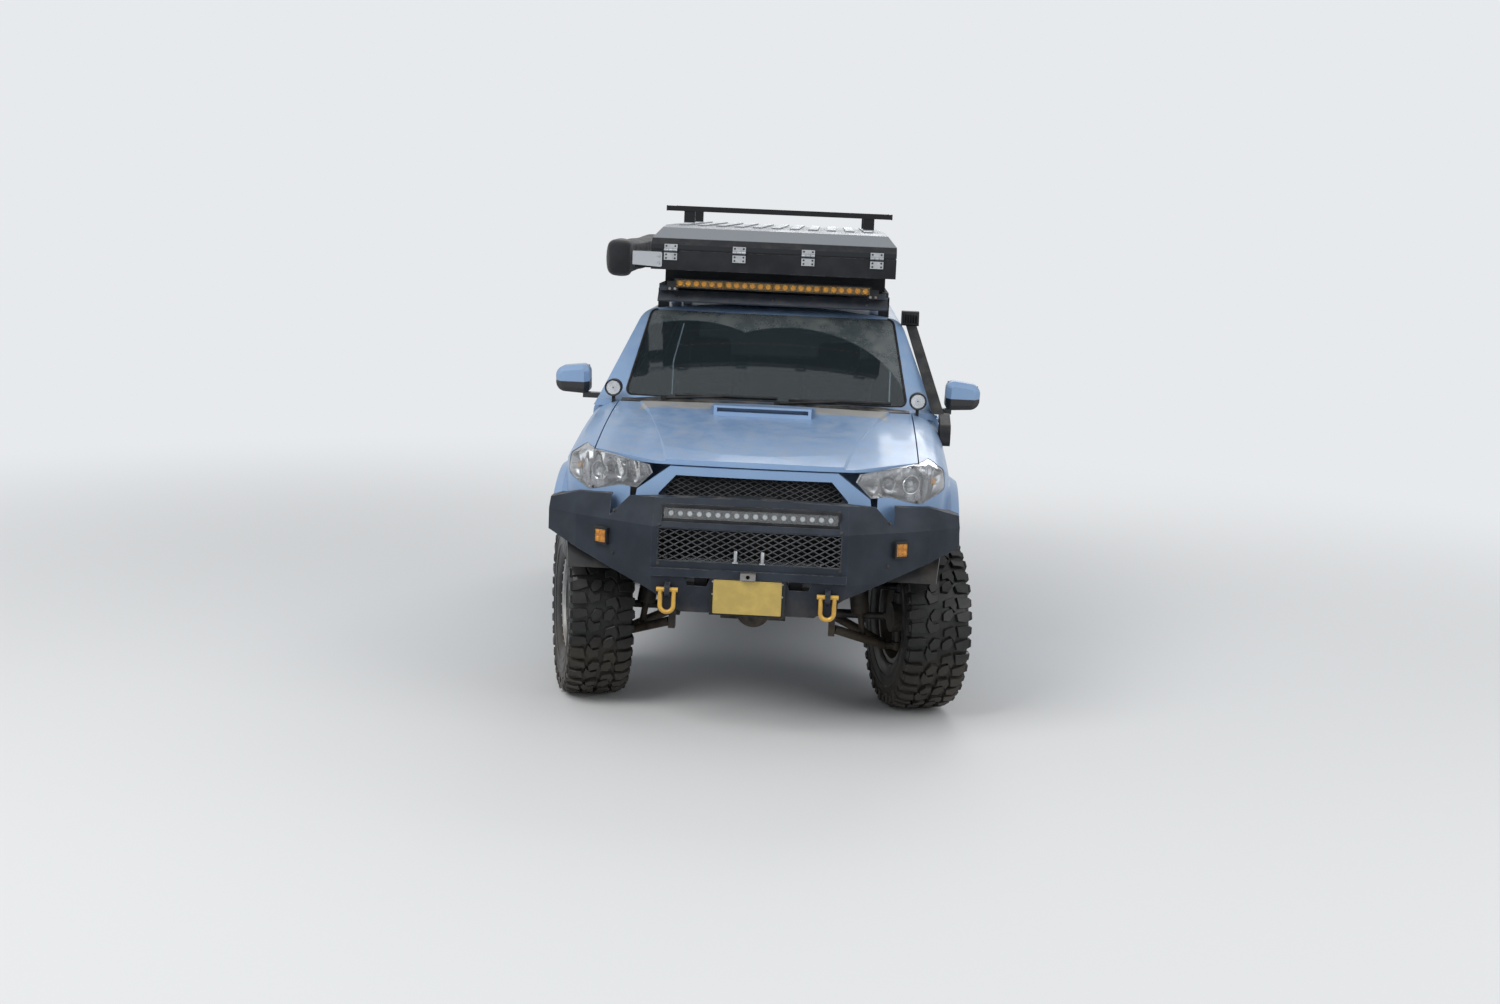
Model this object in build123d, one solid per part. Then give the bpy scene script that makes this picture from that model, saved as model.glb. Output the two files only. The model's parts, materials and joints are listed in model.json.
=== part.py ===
from build123d import *
import copy
import math
import os

os.makedirs("parts", exist_ok=True)

# Lifted five-door off-road 4x4 with a steel winch bumper, a wedge tent on the roof and an awning bag.
# Millimetres. -Y is forward, +X is the vehicle's left, +Z is up, z = 0 is the ground,
# x = 0 is the centre plane and y = 0 is the middle of the vehicle's length.

# Running gear
WHEELBASE = 2790
FRONT_AXLE_Y = -1520
TRACK = 1600
TYRE_DIAMETER = 889
TYRE_WIDTH = 310
RIM_DIAMETER = 456
SPINDLE = 30
BALL_DROP = 146
STEER_AXIS_X = 715
STEER_REST_DEG = 14

# Ladder frame
RAIL_OUTER_X = 405
RAIL_WIDTH = 80
RAIL_HEIGHT = 130
RAIL_BOTTOM_Z = 590
REAR_KICK_UP = 60
FRAME_FRONT_Y = -2230
FRAME_REAR_Y = 2240
MOUNT_PUCK_HEIGHT = 15

# Body
SILL_BOTTOM_Z = 625
SILL_HALF_WIDTH = 884
BODY_HALF_WIDTH = 918
BODY_WIDEST_Z = 950
BELT_Z = 1345
SHOULDER_Z = 1400
SHOULDER_HALF_WIDTH = 862
ROOF_HALF_WIDTH = 688
ROOF_EDGE_Z = 1838
ROOF_CROWN_Z = 1916
WALL = 70
SKIN = 22
PANEL_GAP = 9
NOSE_Y = -2240
TAIL_Y = 2310
COWL_Y = -1150
FLOOR_THICKNESS = 25
CARGO_FLOOR_RISE = 100
SCREEN_BOW_CENTRE_Y = 3600

# Hood
HOOD_FRONT_Z = 1256
HOOD_REAR_Z = 1412
HOOD_HALF_WIDTH = 742
HOOD_BULGE = 11
SCOOP_HALF_WIDTH = 240
SCOOP_HEIGHT = 36

# Wheel arches
ARCH_RADIUS = 508
ARCH_CENTRE_Z = 585
FLARE_HALF_WIDTH = 958
FLARE_WIDTH = 62

# Doors, gate and glass
DOOR_FRONT_Y = -930
DOOR_SPLIT_Y = 92
DOOR_REAR_Y = 866
DOOR_BOTTOM_Z = 668
HINGE_SETBACK = 28
HINGE_X = 893
HINGE_BARREL = 7
HINGE_HEIGHT = 70
DOOR_HINGE_Z = (840, 1110)
HOOD_HINGE_X = 300
GATE_HINGE_X = 420
GATE_HINGE_Y = 1880
GATE_HINGE_Z = 1862
GLASS = 6
GLASS_SEAT = 0.3

# Front bumper
BUMPER_FACE_Y = -2400
BUMPER_CENTRE_HALF = 436
BUMPER_HALF_WIDTH = 950
BUMPER_BOTTOM_Z = 610
BUMPER_TOP_Z = 1118
BUMPER_WALL = 8
LAMP_SLOT_HALF = 396
LAMP_SLOT_Z = 1049
LAMP_SLOT_HEIGHT = 74
WINDOW_HALF = 408
WINDOW_LOW_Z = 838
WINDOW_HIGH_Z = 984
SHACKLE_X = 357
SHACKLE_Z = 712
FOG_X = 668
FOG_Z = 913
FOG_SIZE = 76
PLATE_WIDTH = 305
PLATE_HEIGHT = 152
PLATE_Z = 690

# Roof load
RACK_Z = 1960
RACK_BAR = 34
TENT_HALF_WIDTH = 640
TENT_FRONT_Y = -728
TENT_REAR_Y = 1590
TENT_BASE_Z = 2062
TENT_SEAM_Z = 2162
TENT_LID_TOP_Z = 2292
LOAD_BAR_Z = 2378
AWNING_X = -812

REAR_AXLE_Y = FRONT_AXLE_Y + WHEELBASE
HUB_Z = TYRE_DIAMETER / 2
WHEEL_X = TRACK / 2
RAIL_INNER_X = RAIL_OUTER_X - RAIL_WIDTH
RAIL_TOP_Z = RAIL_BOTTOM_Z + RAIL_HEIGHT
FLOOR_BOTTOM_Z = RAIL_TOP_Z + MOUNT_PUCK_HEIGHT
FLOOR_TOP_Z = FLOOR_BOTTOM_Z + FLOOR_THICKNESS
CARGO_Y = REAR_AXLE_Y - 470
FENDER_REAR_Y = DOOR_FRONT_Y - PANEL_GAP
FAR = 3000


def save(name, shape):
    solids = shape.solids()
    export_step(Compound(children=list(solids)) if len(solids) > 1 else solids[0], f"parts/{name}.step")


def fresh(shape):
    """A copy, because a boolean can loosen the edges of what it is given."""
    return copy.deepcopy(shape)


def biggest(shape):
    return max(shape.solids(), key=lambda piece: piece.volume)


def outline(points):
    """Closed face through (u, v) or (u, v, corner radius) points, each radius a tangent arc."""
    corners = [Vector(point[0], point[1]) for point in points]
    edges = []
    ends = []
    for index, point in enumerate(points):
        corner = corners[index]
        radius = point[2] if len(point) > 2 else 0
        if radius == 0:
            ends.append((corner, None, corner))
            continue
        back = (corners[index - 1] - corner).normalized()
        ahead = (corners[(index + 1) % len(corners)] - corner).normalized()
        half = math.radians(back.get_angle(ahead)) / 2
        reach = radius / math.tan(half)
        middle = corner + (back + ahead).normalized() * (radius / math.sin(half) - radius)
        ends.append((corner + back * reach, middle, corner + ahead * reach))
    for index, (start, middle, finish) in enumerate(ends):
        if middle is not None:
            edges.append(Edge.make_three_point_arc(start, middle, finish))
        edges.append(Edge.make_line(finish, ends[(index + 1) % len(ends)][0]))
    return Face(Wire(edges))


def both_sides(half):
    """Mirror a half outline that runs up the +u side."""
    other = [(-point[0], *point[1:]) for point in reversed(half) if point[0] != 0]
    return half + other


def shrink(face, inset):
    return face if inset == 0 else offset(face, amount=-inset, kind=Kind.INTERSECTION)


def along_x(face, x0, x1):
    """Extrude a (y, z) face from x0 to x1."""
    return extrude(Plane(origin=(x0, 0, 0), x_dir=(0, 1, 0), z_dir=(1, 0, 0)) * face, amount=x1 - x0,
                   dir=(1, 0, 0))


def along_y(face, y0, y1):
    """Extrude an (x, z) face from y0 to y1."""
    return extrude(Plane(origin=(0, y0, 0), x_dir=(1, 0, 0), z_dir=(0, -1, 0)) * face, amount=y1 - y0,
                   dir=(0, 1, 0))


def along_z(face, z0, z1):
    """Extrude an (x, y) face from z0 to z1."""
    return extrude(Plane(origin=(0, 0, z0)) * face, amount=z1 - z0, dir=(0, 0, 1))


def block(x0, x1, y0, y1, z0, z1):
    centre = ((x0 + x1) / 2, (y0 + y1) / 2, (z0 + z1) / 2)
    return Pos(*centre) * Box(abs(x1 - x0), abs(y1 - y0), abs(z1 - z0))


def diamonds(half_width, z0, z1, pitch_x, pitch_z, web, y0, y1):
    """Prisms along y that cut a flat sheet into an expanded mesh of diamonds."""
    cutters = []
    rows = int((z1 - z0) / pitch_z * 2)
    for row in range(1, rows):
        z = z0 + row * pitch_z / 2
        shift = pitch_x / 2 if row % 2 else 0
        for column in range(-int(half_width / pitch_x) - 1, int(half_width / pitch_x) + 2):
            x = column * pitch_x + shift
            if abs(x) + pitch_x / 2 > half_width or z + pitch_z / 2 > z1 or z - pitch_z / 2 < z0:
                continue
            wide, tall = pitch_x / 2 - web, pitch_z / 2 - web * pitch_z / pitch_x
            cutters.append(along_y(outline([(x - wide, z), (x, z - tall), (x + wide, z), (x, z + tall)]), y0, y1))
    return cutters


def rod(start, end, radius):
    span = Vector(*end) - Vector(*start)
    seat = Plane(origin=start, z_dir=span)
    return seat * Cylinder(radius, span.length, align=(Align.CENTER, Align.CENTER, Align.MIN))


def ring_x(centre_y, centre_z, x0, x1, outer, inner):
    """A ring whose axis lies along X."""
    return rod((x0, centre_y, centre_z), (x1, centre_y, centre_z), outer) - rod(
        (x0 - 1, centre_y, centre_z), (x1 + 1, centre_y, centre_z), inner)


def other_side(shape):
    return mirror(shape, about=Plane.YZ)


def pair(shape):
    return Compound(children=[*shape.solids(), *other_side(shape).solids()])


def circle_centre(chord_start, chord_end, rise):
    """Centre and radius of the arc over a chord in the (y, z) plane, bulging upwards by rise."""
    (y0, z0), (y1, z1) = chord_start, chord_end
    chord = math.hypot(y1 - y0, z1 - z0)
    radius = chord ** 2 / (8 * rise) + rise / 2
    drop = radius - rise
    middle = ((y0 + y1) / 2, (z0 + z1) / 2)
    return (middle[0] + drop * (z1 - z0) / chord, middle[1] - drop * (y1 - y0) / chord), radius


# Body envelope. Each outline can be shrunk by a wall thickness, so that walls, doors and glass
# are layers of the same surfaces.
SECTION = [
    (SILL_HALF_WIDTH - 40, SILL_BOTTOM_Z),
    (SILL_HALF_WIDTH, SILL_BOTTOM_Z + 35, 25),
    (BODY_HALF_WIDTH, BODY_WIDEST_Z, 2600),
    (BODY_HALF_WIDTH - 26, BELT_Z, 50),
    (SHOULDER_HALF_WIDTH, SHOULDER_Z, 90),
    (ROOF_HALF_WIDTH, ROOF_EDGE_Z, 95),
    (0, ROOF_CROWN_Z, 5000),
]

# (y, z) of the cabin's side view, from the firewall's foot over the screen and the roof to the tail.
CABIN_SIDE = [
    (-1090, SILL_BOTTOM_Z - 20),
    (-1090, 1150, 60),
    (COWL_Y + 8, 1260, 40),
    (COWL_Y + 8, HOOD_REAR_Z - 6),
    (COWL_Y + 56, HOOD_REAR_Z + 4),
    (-492, 1858, 160),
    (-160, ROOF_CROWN_Z + 14, 2000),
    (1500, ROOF_CROWN_Z + 14, 2000),
    (1900, 1876, 60),
    (2205, 1375, 200),
    (TAIL_Y - 10, 1040, 700),
    (TAIL_Y - 20, SILL_BOTTOM_Z - 20),
]

# (x, y) of the tail's plan, open towards the front.
TAIL_PLAN = [
    (FAR / 3, -1400),
    (FAR / 3, 1100),
    (BODY_HALF_WIDTH + 10, 1500, 2500),
    (BODY_HALF_WIDTH - 38, TAIL_Y - 120, 120),
    (600, TAIL_Y - 26, 500),
    (0, TAIL_Y, 4000),
]

# (x, y) of the nose's plan at the grille's height, open towards the rear.
NOSE_PLAN = [
    (FAR / 3, -900),
    (FAR / 3, -1500),
    (BODY_HALF_WIDTH - 8, -1760, 500),
    (BODY_HALF_WIDTH - 52, -1985, 240),
    (745, NOSE_Y + 142, 260),
    (480, NOSE_Y + 34, 700),
    (0, NOSE_Y, 5000),
]
NOSE_LEAN = 0.14
NOSE_BASE_Z = 560
NOSE_PLAN_Z = 1050

# (x, height above the hood's centre line) of the hood and fender tops.
HOOD_CROWN = [
    (0, 0, 9000),
    (HOOD_HALF_WIDTH + 20, -14, 160),
    (862, -62, 110),
    (915, -165, 60),
]
HOOD_RISE = 22
BARREL_DEPTH = 900


def section_face(inset):
    return shrink(outline(both_sides(SECTION)), inset)


def bowed(points, centre_y, inset, near_y, far_y):
    """Turn a side view about a distant upright axis, so that its slopes bow across the body."""
    face = Plane.YZ * shrink(outline(points), inset)
    axis = Axis((0, centre_y, 0), (0, 0, 1))
    turned = revolve(face.rotate(axis, -20), axis=axis, revolution_arc=40)
    return turned & block(-FAR / 3, FAR / 3, near_y, far_y, 0, FAR)


def cabin(inset=0):
    ends = bowed(CABIN_SIDE, SCREEN_BOW_CENTRE_Y, inset, -FAR / 2, 0)
    ends += along_x(shrink(outline(CABIN_SIDE), inset), -FAR / 3, FAR / 3) & block(
        -FAR / 3, FAR / 3, 0, FAR, 0, FAR)
    sides = along_y(section_face(inset), -1300, TAIL_Y + 100)
    tail = along_z(shrink(outline(both_sides(TAIL_PLAN)), inset), 0, FAR)
    return sides & ends & tail


def hood_barrel(inset):
    """Hood and fender tops: the crown turned about a distant axis across the vehicle."""
    centre, radius = circle_centre((-2195, HOOD_FRONT_Z), (COWL_Y, HOOD_REAR_Z), HOOD_RISE)
    crown, *flanks = HOOD_CROWN
    wide = flanks[-1][0] - inset
    half = [(wide, radius - BARREL_DEPTH)]
    half += [(x - inset, radius + height - inset, corner) for x, height, corner in reversed(flanks)]
    half.append((0, radius - inset, crown[2]))
    face = outline(both_sides(half))
    standing = Plane(origin=(0, centre[0], centre[1]), x_dir=(1, 0, 0), z_dir=(0, -1, 0)) * face
    axis = Axis((0, centre[0], centre[1]), (1, 0, 0))
    return revolve(standing.rotate(axis, -8), axis=axis, revolution_arc=26)


def nose_block(inset):
    rise = HOOD_REAR_Z + 60 - NOSE_BASE_Z
    lean = Vector(0, NOSE_LEAN, 1)
    start = (NOSE_BASE_Z - NOSE_PLAN_Z) * NOSE_LEAN
    face = Pos(0, start, NOSE_BASE_Z) * shrink(outline(both_sides(NOSE_PLAN)), inset)
    return extrude(face, amount=rise * lean.length, dir=lean)


def front_body(inset=0):
    sides = along_y(section_face(inset), -2400, FENDER_REAR_Y)
    return sides & hood_barrel(inset) & nose_block(inset)


BARREL_CENTRE, BARREL_RADIUS = circle_centre((-2195, HOOD_FRONT_Z), (COWL_Y, HOOD_REAR_Z), HOOD_RISE)


def hood_z(y):
    """Height of the hood's centre line at y."""
    return BARREL_CENTRE[1] + math.sqrt(BARREL_RADIUS ** 2 - (y - BARREL_CENTRE[0]) ** 2)


def section_x(z):
    """Half width of the cabin's straight flanks at height z, above the shoulder."""
    share = (z - SHOULDER_Z) / (ROOF_EDGE_Z - SHOULDER_Z)
    return SHOULDER_HALF_WIDTH + share * (ROOF_HALF_WIDTH - SHOULDER_HALF_WIDTH)


# Front body panels
HOOD_LIP_Z = 1240
FENDER_NOSE_Z = 880
COWL_SEAM_Z = 1372
HOOD_CORNER_Y = -2030
HOOD_CORNER_X = 405

HEADLAMP = [(430, 1226), (798, 1288), (868, 1240, 30), (882, 1150, 30), (762, 1092, 50), (610, 1130, 40),
            (532, 1124)]
SURROUND_OUTER = [(562, 925), (529, 1122), (378, HOOD_LIP_Z - 4)]
SURROUND_INNER = [(458, 925), (428, 1112), (352, 1196)]

outer_front = front_body(0)
inner_front = front_body(SKIN)
front_skin = fresh(outer_front) - fresh(inner_front)

hood_plan = [(HOOD_HALF_WIDTH, COWL_Y + 80), (HOOD_HALF_WIDTH, HOOD_CORNER_Y), (HOOD_CORNER_X, -2200),
             (HOOD_CORNER_X, -2300)]
hood_zone = along_z(outline(both_sides(hood_plan)), HOOD_LIP_Z, FAR)
bulge_ends = []
for station_y, half_width in ((COWL_Y, 610), (-2260, 372)):
    level = HOOD_REAR_Z if station_y == COWL_Y else HOOD_FRONT_Z - 8
    ramp = [(half_width + 60, level - 45), (half_width, level + 15)]
    bulge_ends.append(Plane(origin=(0, station_y, 0), x_dir=(1, 0, 0), z_dir=(0, -1, 0))
                      * outline(both_sides(ramp)))
bulge = loft(bulge_ends, ruled=True) & (hood_barrel(-HOOD_BULGE) - hood_barrel(1)) & nose_block(0)
hood_rear = Pos(0, SCREEN_BOW_CENTRE_Y, 0) * Cylinder(SCREEN_BOW_CENTRE_Y - COWL_Y, FAR * 2)
hood = (fresh(front_skin) + bulge) & hood_zone
hood -= hood_rear

scoop_front_y = -1425
scoop_rear_y = -1180
scoop_top = hood_z(scoop_front_y) + HOOD_BULGE + SCOOP_HEIGHT
scoop_side = [(scoop_front_y, hood_z(scoop_front_y) - 4), (scoop_front_y + 14, scoop_top, 14),
              (scoop_rear_y - 60, hood_z(scoop_rear_y) + HOOD_BULGE + 8, 60),
              (scoop_rear_y, hood_z(scoop_rear_y) + 2), (scoop_rear_y, hood_z(scoop_rear_y) - 8)]
scoop = along_x(outline(scoop_side), -SCOOP_HALF_WIDTH, SCOOP_HALF_WIDTH)
slot_z = scoop_top - 30
scoop -= block(-SCOOP_HALF_WIDTH + 16, SCOOP_HALF_WIDTH - 16, scoop_front_y - 5, scoop_front_y + 70, slot_z,
               slot_z + 20)
hood += scoop

lamp_prism = along_y(outline(HEADLAMP), -2300, -1905)
lamp_prisms = lamp_prism + other_side(lamp_prism)
nose_centre = along_y(outline(both_sides(SURROUND_OUTER)), -2400, -2100)
grille_hole = along_y(outline(both_sides(SURROUND_INNER)), -2400, -2100)
hood_gap = 6
hood_clear = along_z(offset(outline(both_sides(hood_plan)), amount=hood_gap, kind=Kind.INTERSECTION),
                     HOOD_LIP_Z - 60, FAR)
arches = rod((-FAR / 3, FRONT_AXLE_Y, ARCH_CENTRE_Z), (FAR / 3, FRONT_AXLE_Y, ARCH_CENTRE_Z), ARCH_RADIUS)
arches += rod((-FAR / 3, REAR_AXLE_Y, ARCH_CENTRE_Z), (FAR / 3, REAR_AXLE_Y, ARCH_CENTRE_Z), ARCH_RADIUS)


def flare(axle_y, low_z):
    """A raised lip round an arch, thin at its outer edge."""
    lip = FLARE_HALF_WIDTH
    cone = Plane(origin=(lip - 90, axle_y, ARCH_CENTRE_Z), z_dir=(1, 0, 0)) * Cone(
        ARCH_RADIUS + FLARE_WIDTH + 34, ARCH_RADIUS + FLARE_WIDTH - 26, 90,
        align=(Align.CENTER, Align.CENTER, Align.MIN))
    cone &= rod((lip - 91, axle_y, ARCH_CENTRE_Z), (lip + 1, axle_y, ARCH_CENTRE_Z),
                ARCH_RADIUS + FLARE_WIDTH)
    return cone & block(0, FAR, -FAR, FAR, low_z, FAR)


cowl_cut = cabin(-GLASS_SEAT) & block(-FAR, FAR, -FAR, 0, COWL_SEAM_Z, FAR)
fender = fresh(front_skin) & block(0, FAR, -FAR, FENDER_REAR_Y, 0, FAR)
fender += flare(FRONT_AXLE_Y, SILL_BOTTOM_Z + 15) - fresh(inner_front)
fender -= fresh(arches)
fender -= hood_clear
fender -= block(-HOOD_HALF_WIDTH - 2, HOOD_HALF_WIDTH + 2, COWL_Y - 20, 0, 0, FAR)
fender -= block(-562.3, 562.3, -FAR, -1900, 0, HOOD_LIP_Z - 1)
fender -= block(-840, 840, -1980, 0, 0, 1080)
fender -= block(-FAR, FAR, -FAR, FRONT_AXLE_Y, 0, FENDER_NOSE_Z)
fender -= block(-FAR, FAR, -FAR, 0, 0, SILL_BOTTOM_Z + 15)
fender -= lamp_prisms
fender -= cowl_cut
liner = ring_x(FRONT_AXLE_Y, ARCH_CENTRE_Z, 610, FLARE_HALF_WIDTH, ARCH_RADIUS + 9, ARCH_RADIUS)
liner &= block(0, FAR, -FAR, FENDER_REAR_Y, SILL_BOTTOM_Z + 90, FAR)
liner &= front_body(2)
liner -= cabin(-GLASS_SEAT)
fender_left = (fender & block(0, FAR, -FAR, FENDER_REAR_Y, 0, FAR)) + liner
fender_left = biggest(fender_left)
HOOD_PIN = (COWL_Y + 30, HOOD_REAR_Z - 12)
for side in (-1, 1):
    lug = block(side * HOOD_HINGE_X - 9, side * HOOD_HINGE_X + 9, COWL_Y - 22, HOOD_PIN[0] + 9,
                HOOD_PIN[1] - 9, HOOD_PIN[1] + 8)
    lug -= rod((side * HOOD_HINGE_X - 20, *HOOD_PIN), (side * HOOD_HINGE_X + 20, *HOOD_PIN), 4 + GLASS_SEAT)
    hood += lug
save("hood", biggest(hood))
save("fender_left", fender_left)
save("fender_right", other_side(fender_left))

headlamp = (front_body(1.5) - front_body(58)) & along_y(shrink(outline(HEADLAMP), 1), -2300, -1906)
headlamp -= hood_clear
save("headlamps", pair(headlamp))

surround = (nose_block(-16) - nose_block(SKIN)) & (nose_centre - grille_hole)
surround = surround & block(-FAR, FAR, -FAR, FAR, 0, HOOD_LIP_Z - 6)
save("grille_surround", surround)
grille = (nose_block(6) - nose_block(14)) & along_y(
    shrink(outline(both_sides(SURROUND_INNER)), GLASS_SEAT), -2400, -2100)
for low_z, half_width in ((1000, 420), (1108, 398)):
    grille = grille.cut(*diamonds(half_width, low_z, low_z + 84, 66, 28, 5, -2400, -2100))
save("grille_mesh", grille)
print("front panels done")

# Cabin walls and doors. A door ends in a surface turned about its own hinge line, so that it swings
# out of its opening at a constant clearance.
FRONT_HINGE_Y = DOOR_FRONT_Y + HINGE_SETBACK
REAR_HINGE_Y = DOOR_SPLIT_Y + HINGE_SETBACK
OPENING_DEPTH = WALL + 9
FRONT_DOOR_SIDE = [(DOOR_FRONT_Y, DOOR_BOTTOM_Z), (DOOR_FRONT_Y, 1392), (-872, 1440), (-438, 1806, 40),
                   (300, 1806), (300, DOOR_BOTTOM_Z)]
REAR_DOOR_SIDE = [(60, DOOR_BOTTOM_Z), (60, 1806), (1000, 1806), (1000, DOOR_BOTTOM_Z)]
# (y, z) of the doors' rear edges in the outer surface, up from the sill
FRONT_DOOR_REAR = [(DOOR_SPLIT_Y - 4.5, z) for z in (500, BODY_WIDEST_Z, SHOULDER_Z, 1500, 1600, 1700, 1806, 2100)]
REAR_DOOR_REAR = [(691, 500), (691, 668), (712, 760), (748, 850), (798, 930), (DOOR_REAR_Y - 4.5, 1005),
                  (DOOR_REAR_Y - 4.5, 1385), (839, 1500), (816, 1600), (793, 1700), (768, 1806), (768, 2100)]
FRONT_WINDOW = [(-790, 1408, 12), (-400, 1750, 40), (40, 1765, 15), (40, 1402, 15)]
REAR_WINDOW = [(140, 1400, 15), (140, 1762, 15), (690, 1750, 30), (800, 1400, 15)]
QUARTER_WINDOW = [(930, 1405, 15), (835, 1742, 25), (1640, 1720, 50), (1790, 1405, 20)]
SCREEN_OPENING = [(722, 1428, 30), (648, 1838, 35)]
# (x, y, z) of the gate's outer edge, from its foot up to the hinge line
GATE_EDGE = [(700, 2300, 790), (740, 2295, 1100), (735, 2210, 1360), (600, 1909, 1845), (598, GATE_HINGE_Y, GATE_HINGE_Z)]
GATE_WINDOW = [(610, 1400, 30), (520, 1760, 40)]


def surface_x(z):
    """Half width of the body's outer surface at height z."""
    for (x0, z0, *_), (x1, z1, *_) in zip(SECTION[1:-1], SECTION[2:]):
        if z0 <= z <= z1:
            return x0 + (x1 - x0) * (z - z0) / (z1 - z0)
    return HINGE_X


def swing(rear_edge, hinge_y, clearance=0):
    """What a door with this rear edge sweeps about its hinge line."""
    rim = [(math.hypot(surface_x(z) - HINGE_X, y - hinge_y) + clearance, z) for y, z in rear_edge]
    face = outline([(0, rim[0][1]), *rim, (0, rim[-1][1])])
    standing = Plane(origin=(HINGE_X, hinge_y, 0), x_dir=(1, 0, 0), z_dir=(0, -1, 0)) * face
    return revolve(standing, axis=Axis((HINGE_X, hinge_y, 0), (0, 0, 1)))


def gate_swing(clearance=0):
    rim = []
    for x, y, z in GATE_EDGE:
        radius = math.hypot(y - GATE_HINGE_Y, z - GATE_HINGE_Z)
        rim.append((x + clearance, radius + (clearance if (x, y, z) == GATE_EDGE[0] else 0)))
    standing = Plane(origin=(0, GATE_HINGE_Y, GATE_HINGE_Z), x_dir=(1, 0, 0), z_dir=(0, -1, 0))
    solid = revolve(standing * outline(both_sides(rim)),
                    axis=Axis((0, GATE_HINGE_Y, GATE_HINGE_Z), (1, 0, 0)))
    return solid & block(-FAR, FAR, GATE_HINGE_Y + 28 - clearance, FAR, 0, FAR)


def grown(face, amount):
    return offset(face, amount=amount, kind=Kind.INTERSECTION) if amount else face


def layer(outer, inner):
    return cabin(outer) - cabin(inner)


def side_core(inset):
    return along_y(section_face(inset), -1400, TAIL_Y + 200)


def both_cut(shape, cutter):
    return shape - cutter - other_side(cutter)


front_zone = along_x(outline(FRONT_DOOR_SIDE), 600, FAR) & swing(FRONT_DOOR_REAR, FRONT_HINGE_Y)
rear_zone = along_x(outline(REAR_DOOR_SIDE), 600, FAR) & swing(REAR_DOOR_REAR, REAR_HINGE_Y)
rear_zone -= swing(FRONT_DOOR_REAR, FRONT_HINGE_Y, PANEL_GAP)
inner_step = block(0, 812, -FAR, FAR, 0, 696)
side_wall = cabin(0) - side_core(WALL)
front_door = biggest((side_wall & front_zone) - inner_step)
rear_door = biggest((fresh(side_wall) & rear_zone) - inner_step)

# Door hinges: a strap from the post carries a barrel, and the door has a pocket round both.
front_straps = []
rear_straps = []
for z in DOOR_HINGE_Z:
    low, high = z - HINGE_HEIGHT / 2, z + HINGE_HEIGHT / 2
    for hinge_y, straps in ((FRONT_HINGE_Y, front_straps), (REAR_HINGE_Y, rear_straps)):
        barrel = rod((HINGE_X, hinge_y, low), (HINGE_X, hinge_y, high), HINGE_BARREL)
        straps.append(barrel + block(HINGE_X - 73, HINGE_X, hinge_y - 1, hinge_y + 4, low, high))
    front_straps[-1] -= block(0, HINGE_X - 50, -FAR, 0, 0, FAR)
    front_straps[-1] += block(HINGE_X - 51, HINGE_X - 36, DOOR_FRONT_Y - 16, FRONT_HINGE_Y + 4, low, high)


def hinge_pocket(hinge_y, z):
    low, high = z - HINGE_HEIGHT / 2 - GLASS_SEAT, z + HINGE_HEIGHT / 2 + GLASS_SEAT
    pocket = rod((HINGE_X, hinge_y, low), (HINGE_X, hinge_y, high), HINGE_BARREL + GLASS_SEAT)
    return pocket + block(HINGE_X - 90, HINGE_X, hinge_y - 45, hinge_y + 13, low, high)


for z in DOOR_HINGE_Z:
    front_door -= hinge_pocket(FRONT_HINGE_Y, z)
    rear_door -= hinge_pocket(REAR_HINGE_Y, z)
front_door = biggest(front_door)
rear_door = biggest(rear_door)

door_openings = along_x(grown(outline(FRONT_DOOR_SIDE), PANEL_GAP), 590, FAR) & swing(
    FRONT_DOOR_REAR, FRONT_HINGE_Y, PANEL_GAP)
door_openings += along_x(grown(outline(REAR_DOOR_SIDE), PANEL_GAP), 590, FAR) & swing(
    REAR_DOOR_REAR, REAR_HINGE_Y, PANEL_GAP)
door_openings -= side_core(OPENING_DEPTH)
door_openings -= block(-1, 803, -FAR, FAR, 0, 712)

shell = layer(0, WALL)
shell -= block(-780, 780, -FAR, FAR, 0, FLOOR_BOTTOM_Z)
shell -= block(-780, 780, CARGO_Y, FAR, 0, FLOOR_BOTTOM_Z + CARGO_FLOOR_RISE)
floors = block(-FAR / 3, FAR / 3, -1060, CARGO_Y + 10, FLOOR_BOTTOM_Z, FLOOR_TOP_Z)
floors += block(-FAR / 3, FAR / 3, CARGO_Y, TAIL_Y, FLOOR_BOTTOM_Z + CARGO_FLOOR_RISE,
                FLOOR_TOP_Z + CARGO_FLOOR_RISE)
floors += block(-FAR / 3, FAR / 3, CARGO_Y, CARGO_Y + 25, FLOOR_BOTTOM_Z, FLOOR_TOP_Z + CARGO_FLOOR_RISE)
shell += floors & cabin(12)
wheelhouse = rod((545, REAR_AXLE_Y, ARCH_CENTRE_Z), (880, REAR_AXLE_Y, ARCH_CENTRE_Z), ARCH_RADIUS + 12)
wheelhouse &= block(0, FAR, -FAR, FAR, SILL_BOTTOM_Z + 15, FAR)
wheel_space = rod((557, REAR_AXLE_Y, ARCH_CENTRE_Z), (FAR, REAR_AXLE_Y, ARCH_CENTRE_Z), ARCH_RADIUS)
sill_riser = block(764, 798, -960, CARGO_Y - 40, SILL_BOTTOM_Z + 10, FLOOR_TOP_Z - 5)
rear_flare = flare(REAR_AXLE_Y, SILL_BOTTOM_Z + 15) - cabin(40)
for part in (wheelhouse, sill_riser, rear_flare):
    shell += part + other_side(part)
shell = both_cut(shell, wheel_space)
shell = both_cut(shell, door_openings)
post_hoop = layer(OPENING_DEPTH + 5, 122) & block(-FAR, FAR, 20, 150, FLOOR_TOP_Z - 15, FAR)
post_hoop += layer(60, 100) & block(-FAR, FAR, 20, 150, 1822, FAR)
shell += post_hoop
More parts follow.
